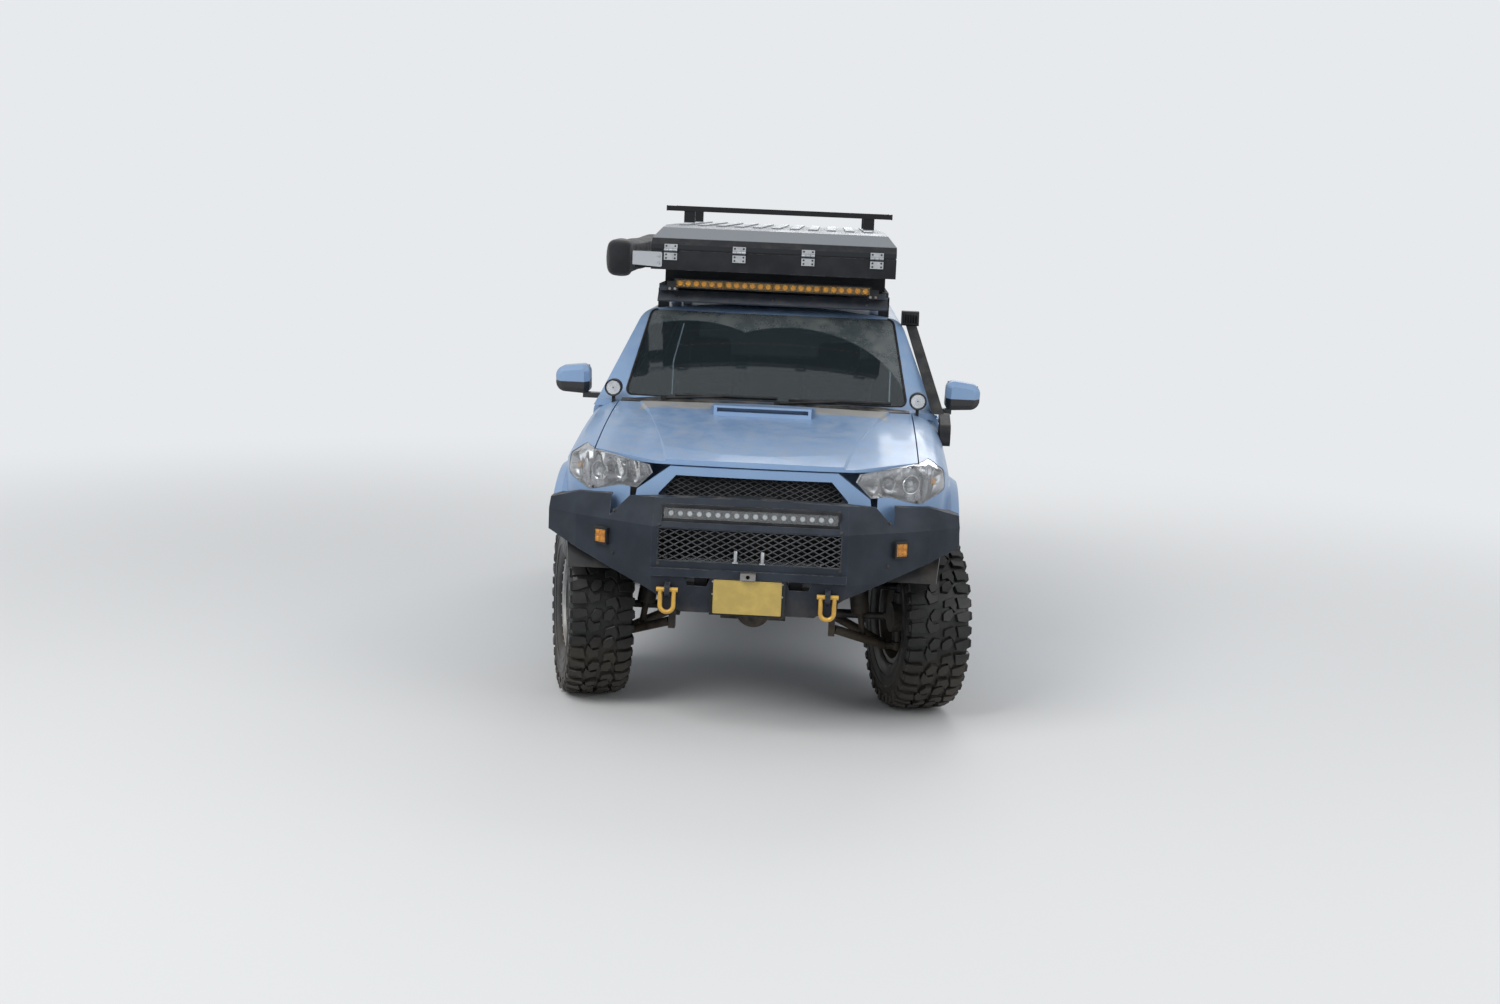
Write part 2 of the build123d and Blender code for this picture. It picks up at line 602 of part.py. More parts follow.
front_corner = block(-FAR / 3, FAR / 3, -FAR, FENDER_REAR_Y, 0, COWL_SEAM_Z) - front_body(SKIN + 1)
shell -= front_corner
shell -= along_y(outline(both_sides(SCREEN_OPENING)), -1160, -380)
shell = both_cut(shell, along_x(outline(QUARTER_WINDOW), 500, FAR))
shell -= gate_swing(PANEL_GAP)
lamp_zone = along_y(outline([(756, 1010, 20), (930, 1010), (930, 1330), (756, 1330, 20)]), 2110, 2400)
shell = both_cut(shell, lamp_zone - cabin(45 + GLASS_SEAT))
for strap in front_straps + rear_straps:
    shell += strap + other_side(strap)

# Hood and gate hinges: a pin across a pocket in the body, and a lug with an eye on the panel.
GATE_PIN = (GATE_HINGE_Y, GATE_HINGE_Z)
for (pin_y, pin_z), pin_x, pocket in (
        (HOOD_PIN, HOOD_HINGE_X, (COWL_Y - 10, HOOD_PIN[0] + 26, HOOD_REAR_Z - 52, HOOD_REAR_Z + 40)),
        (GATE_PIN, GATE_HINGE_X, (GATE_HINGE_Y - 20, GATE_HINGE_Y + 40, GATE_HINGE_Z - 40, GATE_HINGE_Z + 30))):
    for side in (-1, 1):
        shell -= block(side * pin_x - 16, side * pin_x + 16, *pocket)
        shell += rod((side * pin_x - 20, pin_y, pin_z), (side * pin_x + 20, pin_y, pin_z), 4)
shell = biggest(shell)
save("body_shell", shell)
tail_lamp = layer(-4, 45) & along_y(
    outline([(757, 1011, 19), (929, 1011), (929, 1329), (757, 1329, 19)]), 2111, 2400)
save("tail_lamps", pair(tail_lamp))
print("shell done")

glass_layer = layer(3, 3 + GLASS)
mirror_housing = along_y(outline([(925, 1405, 30), (1100, 1415, 50), (1105, 1540, 50), (930, 1562, 40)]),
                         -885, -765)
mirror_housing = chamfer(mirror_housing.edges().group_by(Axis.Y)[0], 26)
mirror_stalk = block(850, 960, -860, -800, 1385, 1412) - cabin(-GLASS_SEAT)
door_mirror = biggest(mirror_housing + mirror_stalk)
for name, door, window in (("front", front_door, FRONT_WINDOW), ("rear", rear_door, REAR_WINDOW)):
    opening = along_x(outline(window), 400, FAR)
    pane = glass_layer & along_x(shrink(outline(window), GLASS_SEAT), 400, FAR)
    door = biggest(door - opening)
    handle_y = {"front": -60, "rear": 620}[name]
    door += block(895, 948, handle_y - 100, handle_y + 100, 1262, 1284) - block(
        0, 938, handle_y - 75, handle_y + 75, 1200, 1300)
    door = biggest(door)
    save(f"{name}_door_left", door)
    save(f"{name}_door_right", other_side(door))
    save(f"{name}_door_glass_left", pane)
    save(f"{name}_door_glass_right", other_side(pane))
save("mirror_left", door_mirror)
save("mirror_right", other_side(door_mirror))
quarter_pane = glass_layer & along_x(shrink(outline(QUARTER_WINDOW), GLASS_SEAT), 500, FAR)
save("quarter_glass", pair(quarter_pane))
screen_zone = along_y(shrink(outline(both_sides(SCREEN_OPENING)), GLASS_SEAT), -1160, -380)
save("windscreen", biggest(layer(2, 2 + GLASS) & screen_zone))

gate_window = along_y(outline(both_sides(GATE_WINDOW)), 1900, 2400)
liftgate = (layer(0, WALL) & gate_swing(0)) - gate_window
for side in (-1, 1):
    lug = block(side * GATE_HINGE_X - 9, side * GATE_HINGE_X + 9, GATE_HINGE_Y - 9, GATE_HINGE_Y + 48,
                GATE_HINGE_Z - 24, GATE_HINGE_Z + 8) & cabin(1)
    lug -= rod((side * GATE_HINGE_X - 20, *GATE_PIN), (side * GATE_HINGE_X + 20, *GATE_PIN), 4 + GLASS_SEAT)
    liftgate += lug
liftgate = biggest(liftgate)
save("liftgate", liftgate)
gate_pane = glass_layer & along_y(shrink(outline(both_sides(GATE_WINDOW)), GLASS_SEAT), 1900, 2400)
save("liftgate_glass", biggest(gate_pane))
print("doors done")

# Winch bumper: plates of one thickness on a ruled form, open at the back.
BUMPER_LEVELS = [
    (600, (418, -2370), (800, -2150), (942, -2028), -1940),
    (760, (BUMPER_CENTRE_HALF, BUMPER_FACE_Y), (805, -2172), (BUMPER_HALF_WIDTH, -2035), -1940),
    (990, (BUMPER_CENTRE_HALF, BUMPER_FACE_Y), (805, -2172), (BUMPER_HALF_WIDTH, -2035), -1940),
    (1130, (BUMPER_CENTRE_HALF - 6, -2322), (788, -2100), (935, -1990), -1940),
]
BUMPER_FRONT_VIEW = [(0, 604), (300, 604), (430, 696), (BUMPER_HALF_WIDTH + 10, 897),
                     (BUMPER_HALF_WIDTH + 10, 1036), (800, 1088), (430, BUMPER_TOP_Z - 8), (0, BUMPER_TOP_Z)]


def bumper_form(inset):
    sections = []
    for z, inner, turn, tip, rear in BUMPER_LEVELS:
        corners = [(inner[0], inner[1] + inset), (turn[0] - inset * 0.8, turn[1] + inset * 0.9),
                   (tip[0] - inset, tip[1] + inset * 0.5), (tip[0] - inset, rear + 3 * inset)]
        sections.append(Pos(0, 0, z) * outline(both_sides(corners)))
    form = loft(sections, ruled=True)
    return form & along_y(shrink(outline(both_sides(BUMPER_FRONT_VIEW)), inset), -2500, -1800)


bumper = bumper_form(0) - bumper_form(BUMPER_WALL)
bumper -= nose_block(-24) & block(-FAR, FAR, -FAR, FAR, 820, FAR)
bumper -= block(-640, 640, -2262, -1800, 500, 1200)
bumper -= rod((-FAR / 3, FRONT_AXLE_Y, ARCH_CENTRE_Z), (FAR / 3, FRONT_AXLE_Y, ARCH_CENTRE_Z),
              ARCH_RADIUS + FLARE_WIDTH + 12)
for x0, x1, z0, z1 in ((-LAMP_SLOT_HALF, LAMP_SLOT_HALF, LAMP_SLOT_Z - LAMP_SLOT_HEIGHT / 2,
                        LAMP_SLOT_Z + LAMP_SLOT_HEIGHT / 2),
                       (-WINDOW_HALF, WINDOW_HALF, WINDOW_LOW_Z, WINDOW_HIGH_Z)):
    bumper -= block(x0, x1, -2450, -2290, z0, z1)
vent = along_y(outline([(166, 776), (288, 776), (270, 728), (184, 728)]), -2450, -2340)
bumper = both_cut(bumper, vent)
fog_seat = Pos(FOG_X, -2252, FOG_Z) * Rot(0, 0, 31.7)
bumper = both_cut(bumper, fog_seat * Box(FOG_SIZE, 90, FOG_SIZE))
ledge = block(-BUMPER_CENTRE_HALF, BUMPER_CENTRE_HALF, -2414, BUMPER_FACE_Y + 4, 770, 806)
arm = block(332, 398, BUMPER_FACE_Y + 4, FRAME_FRONT_Y - GLASS_SEAT, 606, 716)
tab = along_x(outline([(-2396, 742), (-2440, 730, 12), (-2440, 690, 12), (-2396, 668)]),
              SHACKLE_X - 12, SHACKLE_X + 12)
tab -= rod((SHACKLE_X - 20, -2422, SHACKLE_Z), (SHACKLE_X + 20, -2422, SHACKLE_Z), 11)
wing_brace = block(636, 660, -2240, -2100, 800, 1040)
bumper += ledge
for part in (arm, tab):
    bumper += part + other_side(part)
bumper = biggest(bumper)
save("front_bumper", bumper)

fog = fog_seat * Box(FOG_SIZE - 2 * GLASS_SEAT, 50, FOG_SIZE - 2 * GLASS_SEAT)
fog -= fog_seat * Pos(0, -25, 0) * Box(FOG_SIZE - 14, 12, FOG_SIZE - 14)
for x in (-15, 15):
    for z in (-15, 15):
        fog += fog_seat * Pos(x, -18, z) * Rot(90, 0, 0) * Cone(13, 10, 8)
save("fog_lamps", pair(fog))
bumper_bar = block(-LAMP_SLOT_HALF + GLASS_SEAT, LAMP_SLOT_HALF - GLASS_SEAT, -2378, -2310,
                   LAMP_SLOT_Z - LAMP_SLOT_HEIGHT / 2 + GLASS_SEAT,
                   LAMP_SLOT_Z + LAMP_SLOT_HEIGHT / 2 - GLASS_SEAT)
bumper_bar -= block(-LAMP_SLOT_HALF + 8, LAMP_SLOT_HALF - 8, -2380, -2368, LAMP_SLOT_Z - 24, LAMP_SLOT_Z + 24)
LED_COUNT = 18
for index in range(LED_COUNT):
    x = (index - (LED_COUNT - 1) / 2) * (2 * LAMP_SLOT_HALF - 40) / LED_COUNT
    bumper_bar += Pos(x, -2370, LAMP_SLOT_Z) * Rot(90, 0, 0) * Cone(19, 13, 8)
save("bumper_light_bar", bumper_bar)
window_mesh = block(-WINDOW_HALF + GLASS_SEAT, WINDOW_HALF - GLASS_SEAT, -2396, -2392,
                    WINDOW_LOW_Z + GLASS_SEAT, WINDOW_HIGH_Z - GLASS_SEAT)
window_mesh = window_mesh.cut(*diamonds(WINDOW_HALF - 6, WINDOW_LOW_Z + 4, WINDOW_HIGH_Z - 4, 66, 34, 5, -2400, -2390))
save("bumper_mesh", window_mesh)

winch = rod((-190, -2290, 700), (190, -2290, 700), 38)
for x in (-215, 215):
    winch += block(x - 28, x + 28, -2345, -2263, 640, 760)
winch += block(-285, 285, -2340, -2263, 612.3, 624)
winch += block(-215, 215, -2300, -2280, 612.3, 668)
save("winch", winch)

plate = block(-PLATE_WIDTH / 2, PLATE_WIDTH / 2, -2418, -2414.3, PLATE_Z - PLATE_HEIGHT / 2,
              PLATE_Z + PLATE_HEIGHT / 2)
plate_frame = block(-168, 168, -2414, -2400.3, PLATE_Z - 84, 769.7)
hook = block(-34, 34, -2440, -2414.3, 772, 803) - rod((0, -2450, 787), (0, -2400, 787), 9)
save("number_plate", plate)
save("plate_frame", plate_frame)
save("winch_hook", hook)

bow = Pos(SHACKLE_X, -2422, 640) * Rot(90, 0, 0) * Torus(30, 10)
bow -= block(0, FAR, -FAR, FAR, 640, 700)
for x in (SHACKLE_X - 30, SHACKLE_X + 30):
    bow += rod((x, -2422, 640), (x, -2422, 716), 10)
bow += rod((SHACKLE_X - 48, -2422, SHACKLE_Z), (SHACKLE_X + 48, -2422, SHACKLE_Z), 10.6)
save("shackles", pair(bow))
print("bumper done")

# Frame
half_frame = block(RAIL_INNER_X, RAIL_OUTER_X, FRAME_FRONT_Y, 840, RAIL_BOTTOM_Z, RAIL_TOP_Z)
kick = along_x(outline([(835, RAIL_BOTTOM_Z), (990, RAIL_BOTTOM_Z + REAR_KICK_UP),
                        (1700, RAIL_BOTTOM_Z + REAR_KICK_UP), (1860, RAIL_BOTTOM_Z),
                        (FRAME_REAR_Y, RAIL_BOTTOM_Z), (FRAME_REAR_Y, RAIL_TOP_Z),
                        (1870, RAIL_TOP_Z), (1710, RAIL_TOP_Z + REAR_KICK_UP),
                        (980, RAIL_TOP_Z + REAR_KICK_UP), (835, RAIL_TOP_Z)]), RAIL_INNER_X, RAIL_OUTER_X)
half_frame += kick
for y in (-760, -100, 520):
    half_frame += block(RAIL_OUTER_X - 5, 500, y - 40, y + 40, RAIL_TOP_Z - 60, RAIL_TOP_Z)
    half_frame += block(440, 495, y - 35, y + 35, RAIL_TOP_Z - 5, FLOOR_BOTTOM_Z)
half_frame += block(RAIL_INNER_X + 2, RAIL_OUTER_X - 30, 1120, 1180, RAIL_TOP_Z + REAR_KICK_UP - 5,
                    FLOOR_BOTTOM_Z + CARGO_FLOOR_RISE)
# middle y and bottom z of the members between the rails
CROSSMEMBERS = [(-2150, 620), (-1600, 600), (-700, 600), (60, 600), (720, 625), (1660, 680), (2190, 640)]
member_end = RAIL_INNER_X - GLASS_SEAT
members = [block(-member_end, member_end, y - 35, y + 35, z, z + 70) for y, z in CROSSMEMBERS]
receiver = block(-38, 38, 2150, 2400, 560, 636) - block(-26, 26, 2200, 2410, 572, 624)
receiver -= rod((-60, 2340, 598), (60, 2340, 598), 8)
members[-1] += receiver + block(-38, 38, 2150, 2225, 600, 660)
frame = [half_frame, other_side(half_frame), *members]
save("frame_rails", Compound(children=[piece for part in frame for piece in part.solids()]))
skid = along_x(outline([(-2120, 620 - GLASS_SEAT), (-2100, 556), (-1620, 540), (-1620, 530), (-2104, 546),
                        (-2190, 600), (-2190, 620 - GLASS_SEAT)]), -300, 300)
save("skid_plate", skid + block(-300, 300, -1636, -1620, 530, 600 - GLASS_SEAT))

engine = block(-280, 280, -1950, -1250, 700, 1130)
gearbox = block(-150, 150, -1260, -700, 530, 700 - GLASS_SEAT)
gearbox += block(-150, 150, -1300, -1255, 600, 700 - GLASS_SEAT)
gearbox -= block(-RAIL_INNER_X, RAIL_INNER_X, -740, -660, 590, 680)
save("engine_block", Compound(children=[*engine.solids(), *gearbox.solids()]))
save("radiator", block(-320, 320, -2120, -2060, 690.3, 1150))
tank_side = RAIL_INNER_X - GLASS_SEAT
tank = along_y(outline([(62, 522, 30), (tank_side, 522, 30), (tank_side, 690, 30), (62, 690, 30)]), 130, 640)
save("fuel_tank", tank)
pipe = rod((-230, -720, 569.7), (-230, 640, 569.7), 30)
pipe += rod((-230, -100, 520), (-230, 450, 520), 75)
pipe += rod((-230, 640, 569.7), (-285, 760, 560), 30) + Pos(-285, 760, 560) * Sphere(30)
pipe += Pos(-230, 640, 569.7) * Sphere(30)
save("exhaust", pipe)
print("frame done")

# Wheels. The front pair stands steered to the vehicle's left.
TYRE_HALF = [(444.5, 118), (438, 140), (415, 153), (350, 155), (262, 148), (229, 118)]
LUG_COUNT = 18
# grooves between lugs: middle x, length along x, width, skew in degrees, share of a lug's pitch
GROOVES = [(94, 150, 26, 16, 0.0), (-94, 150, 26, -16, 0.5), (0, 62, 16, 38, 0.25)]
GROOVE_DEPTH = 17
RIM_LIP = RIM_DIAMETER / 2


def wheel():
    """The left wheel about its own centre, axle along X, outer face at +X."""
    shoulder = [(half, radius) for radius, half in TYRE_HALF]
    upright = Plane(origin=(0, 0, 0), x_dir=(1, 0, 0), z_dir=(0, -1, 0))
    spin = Axis((0, 0, 0), (1, 0, 0))
    tyre = revolve(upright * outline([(x, r) for x, r in shoulder[::-1]] + [(-x, r) for x, r in shoulder]),
                   axis=spin)
    barrel = [(-122, 228), (-122, 198), (60, 198), (60, 55), (90, 60), (102, 120), (96, 195), (122, 206),
              (122, 228), (112, 228.7), (112, 216), (-112, 216), (-112, 228.7)]
    rim = revolve(upright * outline(barrel), axis=spin)
    tyre -= rod((-130, 0, 0), (130, 0, 0), 228.99)
    grooves = []
    for middle_x, length, width, skew, share in GROOVES:
        groove = Pos(middle_x, 0, TYRE_DIAMETER / 2) * Rot(0, 0, skew) * Box(length, width, 2 * GROOVE_DEPTH)
        for index in range(LUG_COUNT):
            grooves.append(groove.rotate(spin, 360 / LUG_COUNT * (index + share)))
    tyre = tyre.cut(*grooves)
    for index in range(6):
        hole = Pos(0, 0, 150) * Rot(0, 90, 0) * Cylinder(34, 300)
        rim -= hole.rotate(spin, 60 * index)
    rim += rod((-64, 0, 0), (98, 0, 0), 58)
    rim += rod((-52, 0, 0), (-28, 0, 0), 168)
    rim -= rod((-70, 0, 0), (-30, 0, 0), SPINDLE + GLASS_SEAT)
    return tyre, rim


def steered(shape, side):
    return shape.rotate(Axis((side * STEER_AXIS_X, FRONT_AXLE_Y, 0), (0, 0, 1)), STEER_REST_DEG)


tyre, rim = wheel()
for end, axle_y in (("front", FRONT_AXLE_Y), ("rear", REAR_AXLE_Y)):
    for side_name, side in (("left", 1), ("right", -1)):
        placed = []
        for piece in (tyre, rim):
            turned = piece if side == 1 else other_side(piece)
            turned = Pos(side * WHEEL_X, axle_y, HUB_Z) * turned
            placed += (steered(turned, side) if end == "front" else turned).solids()
        save(f"{end}_wheel_{side_name}", Compound(children=placed))

hub_face = WHEEL_X - 69
knuckle = rod((672, FRONT_AXLE_Y, HUB_Z), (hub_face, FRONT_AXLE_Y, HUB_Z), 74)
knuckle += rod((hub_face - 5, FRONT_AXLE_Y, HUB_Z), (hub_face + 32, FRONT_AXLE_Y, HUB_Z), SPINDLE)
for drop in (-1, 1):
    ball_z = HUB_Z + drop * BALL_DROP
    foot_z = HUB_Z + drop * 60
    knuckle += rod((STEER_AXIS_X, FRONT_AXLE_Y, min(foot_z, ball_z - drop * 26)),
                   (STEER_AXIS_X, FRONT_AXLE_Y, max(foot_z, ball_z - drop * 26)), 24)
    knuckle -= rod((STEER_AXIS_X, FRONT_AXLE_Y, min(ball_z, ball_z - drop * 52)),
                   (STEER_AXIS_X, FRONT_AXLE_Y, max(ball_z, ball_z - drop * 52)), 9 + GLASS_SEAT)
knuckle += block(684, 704, FRONT_AXLE_Y + 20, FRONT_AXLE_Y + 150, HUB_Z - 40, HUB_Z - 12)
calliper = ring_x(FRONT_AXLE_Y, HUB_Z, 706, 790, 190, 175) + ring_x(FRONT_AXLE_Y, HUB_Z, 706, 732, 190, 60)
knuckle += calliper & block(0, FAR, FRONT_AXLE_Y + 70, FAR, HUB_Z - 30, HUB_Z + 130)
knuckle = biggest(knuckle)
save("steering_knuckle_left", steered(knuckle, 1))
save("steering_knuckle_right", steered(other_side(knuckle), -1))

# Front suspension: arms, coil-over and half shaft on each side, with the rack between them.
LOW_BALL_Z = HUB_Z - BALL_DROP
HIGH_BALL_Z = HUB_Z + BALL_DROP
low_arm = rod((640, FRONT_AXLE_Y, LOW_BALL_Z), (STEER_AXIS_X, FRONT_AXLE_Y, LOW_BALL_Z), 18)
low_arm += rod((STEER_AXIS_X, FRONT_AXLE_Y, LOW_BALL_Z - 20), (STEER_AXIS_X, FRONT_AXLE_Y, LOW_BALL_Z + 18), 23)
low_arm += rod((STEER_AXIS_X, FRONT_AXLE_Y, LOW_BALL_Z), (STEER_AXIS_X, FRONT_AXLE_Y, LOW_BALL_Z + 48), 9)
up_arm = rod((645, FRONT_AXLE_Y, HIGH_BALL_Z), (STEER_AXIS_X, FRONT_AXLE_Y, HIGH_BALL_Z), 13)
up_arm += rod((STEER_AXIS_X, FRONT_AXLE_Y, HIGH_BALL_Z - 14), (STEER_AXIS_X, FRONT_AXLE_Y, HIGH_BALL_Z + 13), 18)
up_arm += rod((STEER_AXIS_X, FRONT_AXLE_Y, HIGH_BALL_Z - 48), (STEER_AXIS_X, FRONT_AXLE_Y, HIGH_BALL_Z), 9)
for side in (-1, 1):
    root_y = FRONT_AXLE_Y + side * 150
    low_arm += rod((400, root_y, 400), (652, FRONT_AXLE_Y + side * 14, LOW_BALL_Z + 4), 22)
    low_arm += block(372, 404, root_y - 30, root_y + 30, 370, RAIL_BOTTOM_Z - GLASS_SEAT)
for root_y, side in ((FRONT_AXLE_Y - 215, -1), (FRONT_AXLE_Y + 150, 1)):
    up_arm += rod((430, root_y, 640), (655, FRONT_AXLE_Y + side * 11, HIGH_BALL_Z + 2), 13)
    up_arm += block(RAIL_OUTER_X + GLASS_SEAT, 445, root_y - 22, root_y + 22, 610, 670)
coil_y = FRONT_AXLE_Y - 50
coil = rod((545, coil_y, 345), (470, coil_y, 840), 16)
coil += rod((526, coil_y, 470), (475, coil_y, 810), 45)
coil += block(RAIL_OUTER_X + GLASS_SEAT, 500, coil_y - 50, coil_y + 50, 800, 860)
coil += block(RAIL_OUTER_X + GLASS_SEAT, 420, coil_y - 50, coil_y + 50, 600, 860)
side_parts = low_arm + coil + up_arm
save("front_suspension", pair(side_parts))
rack = rod((-360, FRONT_AXLE_Y + 215, 410), (360, FRONT_AXLE_Y + 215, 410), 28)
for side in (-1, 1):
    rack += rod((side * 355, FRONT_AXLE_Y + 215, 410), (side * 508, FRONT_AXLE_Y + 192, 418), 11)
    rack += block(side * 300 - 25, side * 300 + 25, FRONT_AXLE_Y + 195, FRONT_AXLE_Y + 240, 410, 589.7)
rack += block(-345, 345, FRONT_AXLE_Y + 195, FRONT_AXLE_Y + 240, 565, 589.7)
save("steering_rack", rack)
front_drive = rod((-640, FRONT_AXLE_Y, HUB_Z), (640, FRONT_AXLE_Y, HUB_Z), 18)
front_drive += rod((-160, FRONT_AXLE_Y, HUB_Z), (160, FRONT_AXLE_Y, HUB_Z), 50)
front_drive += Pos(0, FRONT_AXLE_Y, HUB_Z) * Sphere(88)
front_drive += rod((60, FRONT_AXLE_Y, HUB_Z + 10), (60, -720, 496), 26)
front_drive += block(-80, 80, FRONT_AXLE_Y - 78, FRONT_AXLE_Y - 50, HUB_Z + 40, 600 - GLASS_SEAT)
save("front_driveline", front_drive)

rear_axle = rod((-640, REAR_AXLE_Y, HUB_Z), (640, REAR_AXLE_Y, HUB_Z), 45)
rear_axle += Pos(0, REAR_AXLE_Y, HUB_Z) * Sphere(135)
for side in (-1, 1):
    rear_axle += rod((side * 630, REAR_AXLE_Y, HUB_Z), (side * hub_face, REAR_AXLE_Y, HUB_Z), 74)
    rear_axle += rod((side * hub_face, REAR_AXLE_Y, HUB_Z), (side * (hub_face + 32), REAR_AXLE_Y, HUB_Z),
                     SPINDLE)
    rear_axle += block(side * 470 - 55, side * 470 + 55, REAR_AXLE_Y - 60, REAR_AXLE_Y + 60, 475, 500)
rear_axle += rod((0, REAR_AXLE_Y - 100, HUB_Z), (0, -560, 560), 38)
rear_axle += block(-60, 60, -699.7, -560, 535, 599.7)
save("rear_axle", rear_axle)
spring = rod((470, REAR_AXLE_Y, 500.3), (470, REAR_AXLE_Y, 700), 58)
spring += block(405.3, 530, REAR_AXLE_Y - 70, REAR_AXLE_Y + 70, 700, 720)
shock = rod((520, REAR_AXLE_Y + 90, 420), (440, REAR_AXLE_Y + 150, 760), 28)
shock += block(405.3, 480, REAR_AXLE_Y + 120, REAR_AXLE_Y + 180, 730, 775)
shock += rod((520, REAR_AXLE_Y + 95, 430), (520, REAR_AXLE_Y + 46, 440), 20)
trail = rod((430, REAR_AXLE_Y - 71, 444), (430, 520, 560), 24)
trail += block(405.3, 460, 480, 560, 530, 620)
save("rear_suspension", pair(spring + shock + trail))

rear_bumper = along_z(outline([(-880, 2200), (-880, 2240), (-780, 2345, 30), (-500, 2395, 80), (500, 2395, 80),
                               (780, 2345, 30), (880, 2240), (880, 2200)]), 620, 770)
rear_bumper -= block(-860, 860, 0, 2316, 500, 752)
rear_bumper -= block(-60, 60, 2000, 2500, 500, 655)
rear_bumper -= cabin(-GLASS_SEAT)
rear_bumper -= gate_swing(PANEL_GAP)
for x in (-365, 365):
    rear_bumper += block(x - 35, x + 35, FRAME_REAR_Y + GLASS_SEAT, 2380, 620, 700)
save("rear_bumper", biggest(rear_bumper))
print("running gear done")

# Things on the body
mast = loft([Pos(880, -1055, 1405) * Rectangle(60, 62), Pos(745, -486, 1812) * Rectangle(56, 60)])
cap = along_x(outline([(-523, 1812, 12), (-413, 1812, 20), (-413, 1889, 30), (-500, 1889, 25)]), 692, 784)
cap -= block(700, 776, -530, -505, 1826, 1872)
elbow = along_x(outline([(-1230, 1262, 30), (-1025, 1250, 30), (-1025, 1409, 10), (-1085, 1409, 10),
                         (-1230, 1360, 40)]), 885, 938)
elbow -= front_body(-GLASS_SEAT)
snorkel = elbow + mast + cap
snorkel -= cabin(-GLASS_SEAT)
snorkel -= front_body(-GLASS_SEAT)
save("snorkel", biggest(snorkel))

wiper_cut = cabin(-3)
wipers = []
for pivot_x, tip_x in ((-520, 60), (60, 640)):
    pivot_y = COWL_Y + 60 + pivot_x ** 2 / 9500
    arm = rod((pivot_x, pivot_y, 1424), (pivot_x + 300, -1066, 1442), 7)
    blade = rod((pivot_x + 60, -1062, 1442), (tip_x, -1056, 1446), 8)
    arm += blade + rod((pivot_x, pivot_y, 1400), (pivot_x, pivot_y, 1436), 14)
    wipers.append(biggest(arm - cabin(-GLASS_SEAT)))
save("wipers", Compound(children=wipers))
ditch_lamp = rod((772, -1122, 1470), (772, -1064, 1470), 42)
ditch_lamp += block(764, 780, -1105, -1083, 1380, 1440)
save("ditch_lamps", pair(biggest(ditch_lamp - front_body(-GLASS_SEAT) - cabin(-GLASS_SEAT))))

rack = Compound(children=[])
side_rail = block(583, 617, -450, 1650, RACK_Z - 17, RACK_Z + 17)
for y in (-350, 450, 1250):
    side_rail += block(570, 625, y - 40, y + 40, 1780, RACK_Z - 10) - cabin(-GLASS_SEAT)
side_rail += block(560, 600, -590, -440, RACK_Z - 12, RACK_Z + 12)
roof_rack = side_rail + other_side(side_rail)
for y in (-430, -80, 270, 620, 970, 1320, 1630):
    roof_rack += block(-590, 590, y - 20, y + 20, RACK_Z - 8, RACK_Z + 12)
fairing = along_x(outline([(-590, 1895), (-520, 1948), (-425, 1960), (-425, 1950), (-515, 1938), (-584, 1888)]),
                  -612, 612)
roof_rack += fairing - cabin(-GLASS_SEAT)
save("roof_rack", biggest(roof_rack))
roof_bar = block(-520, 520, -640, -590.3, 1965, 2015)
for side in (-1, 1):
    roof_bar += block(side * 530 - 30, side * 530 + 30, -640, -590.3, 1950, 2000)
LENS_WIDTH = 250
for index in range(4):
    x = (index - 1.5) * (LENS_WIDTH + 6)
    roof_bar -= block(x - LENS_WIDTH / 2, x + LENS_WIDTH / 2, -642, -632, 1971, 2009)
    for cell in range(6):
        cell_x = x + (cell - 2.5) * LENS_WIDTH / 6
        roof_bar += Pos(cell_x, -635, 1990) * Rot(90, 0, 0) * Cone(18, 12, 8)
save("roof_light_bar", roof_bar)

tent_base = block(-TENT_HALF_WIDTH, TENT_HALF_WIDTH, TENT_FRONT_Y, TENT_REAR_Y, TENT_BASE_Z, TENT_SEAM_Z)
tent_base -= block(-TENT_HALF_WIDTH + 30, TENT_HALF_WIDTH - 30, TENT_FRONT_Y + 30, TENT_REAR_Y - 30,
                   TENT_BASE_Z + 25, TENT_SEAM_Z + 1)
for y in (-255, 445, 1145):
    tent_base += block(-600, 600, y - 30, y + 30, RACK_Z + 17 + GLASS_SEAT, TENT_BASE_Z + 1)
for y in (-660, 200, 1000):
    tent_base += block(-727.7, -630, y - 25, y + 25, TENT_BASE_Z + 5, TENT_BASE_Z + 90)
TENT_PIN_Y = TENT_FRONT_Y - 7
TENT_PIN_Z = TENT_SEAM_Z + 2
TENT_HINGE_X = (-538, -180, 180, 538)
for x in TENT_HINGE_X:
    for x0, x1 in ((x - 34, x - 12), (x + 12, x + 34)):
        tent_base += rod((x0, TENT_PIN_Y, TENT_PIN_Z), (x1, TENT_PIN_Y, TENT_PIN_Z), 7)
        tent_base += block(x0, x1, TENT_FRONT_Y - 5, TENT_FRONT_Y + 4, TENT_SEAM_Z - 50, TENT_SEAM_Z)
    tent_base += rod((x - 20, TENT_PIN_Y, TENT_PIN_Z), (x + 20, TENT_PIN_Y, TENT_PIN_Z), 4)
    tent_base += block(x - 34, x + 34, TENT_FRONT_Y - 5, TENT_FRONT_Y + 4, TENT_SEAM_Z - 50, TENT_SEAM_Z - 12)
save("tent_base", tent_base)
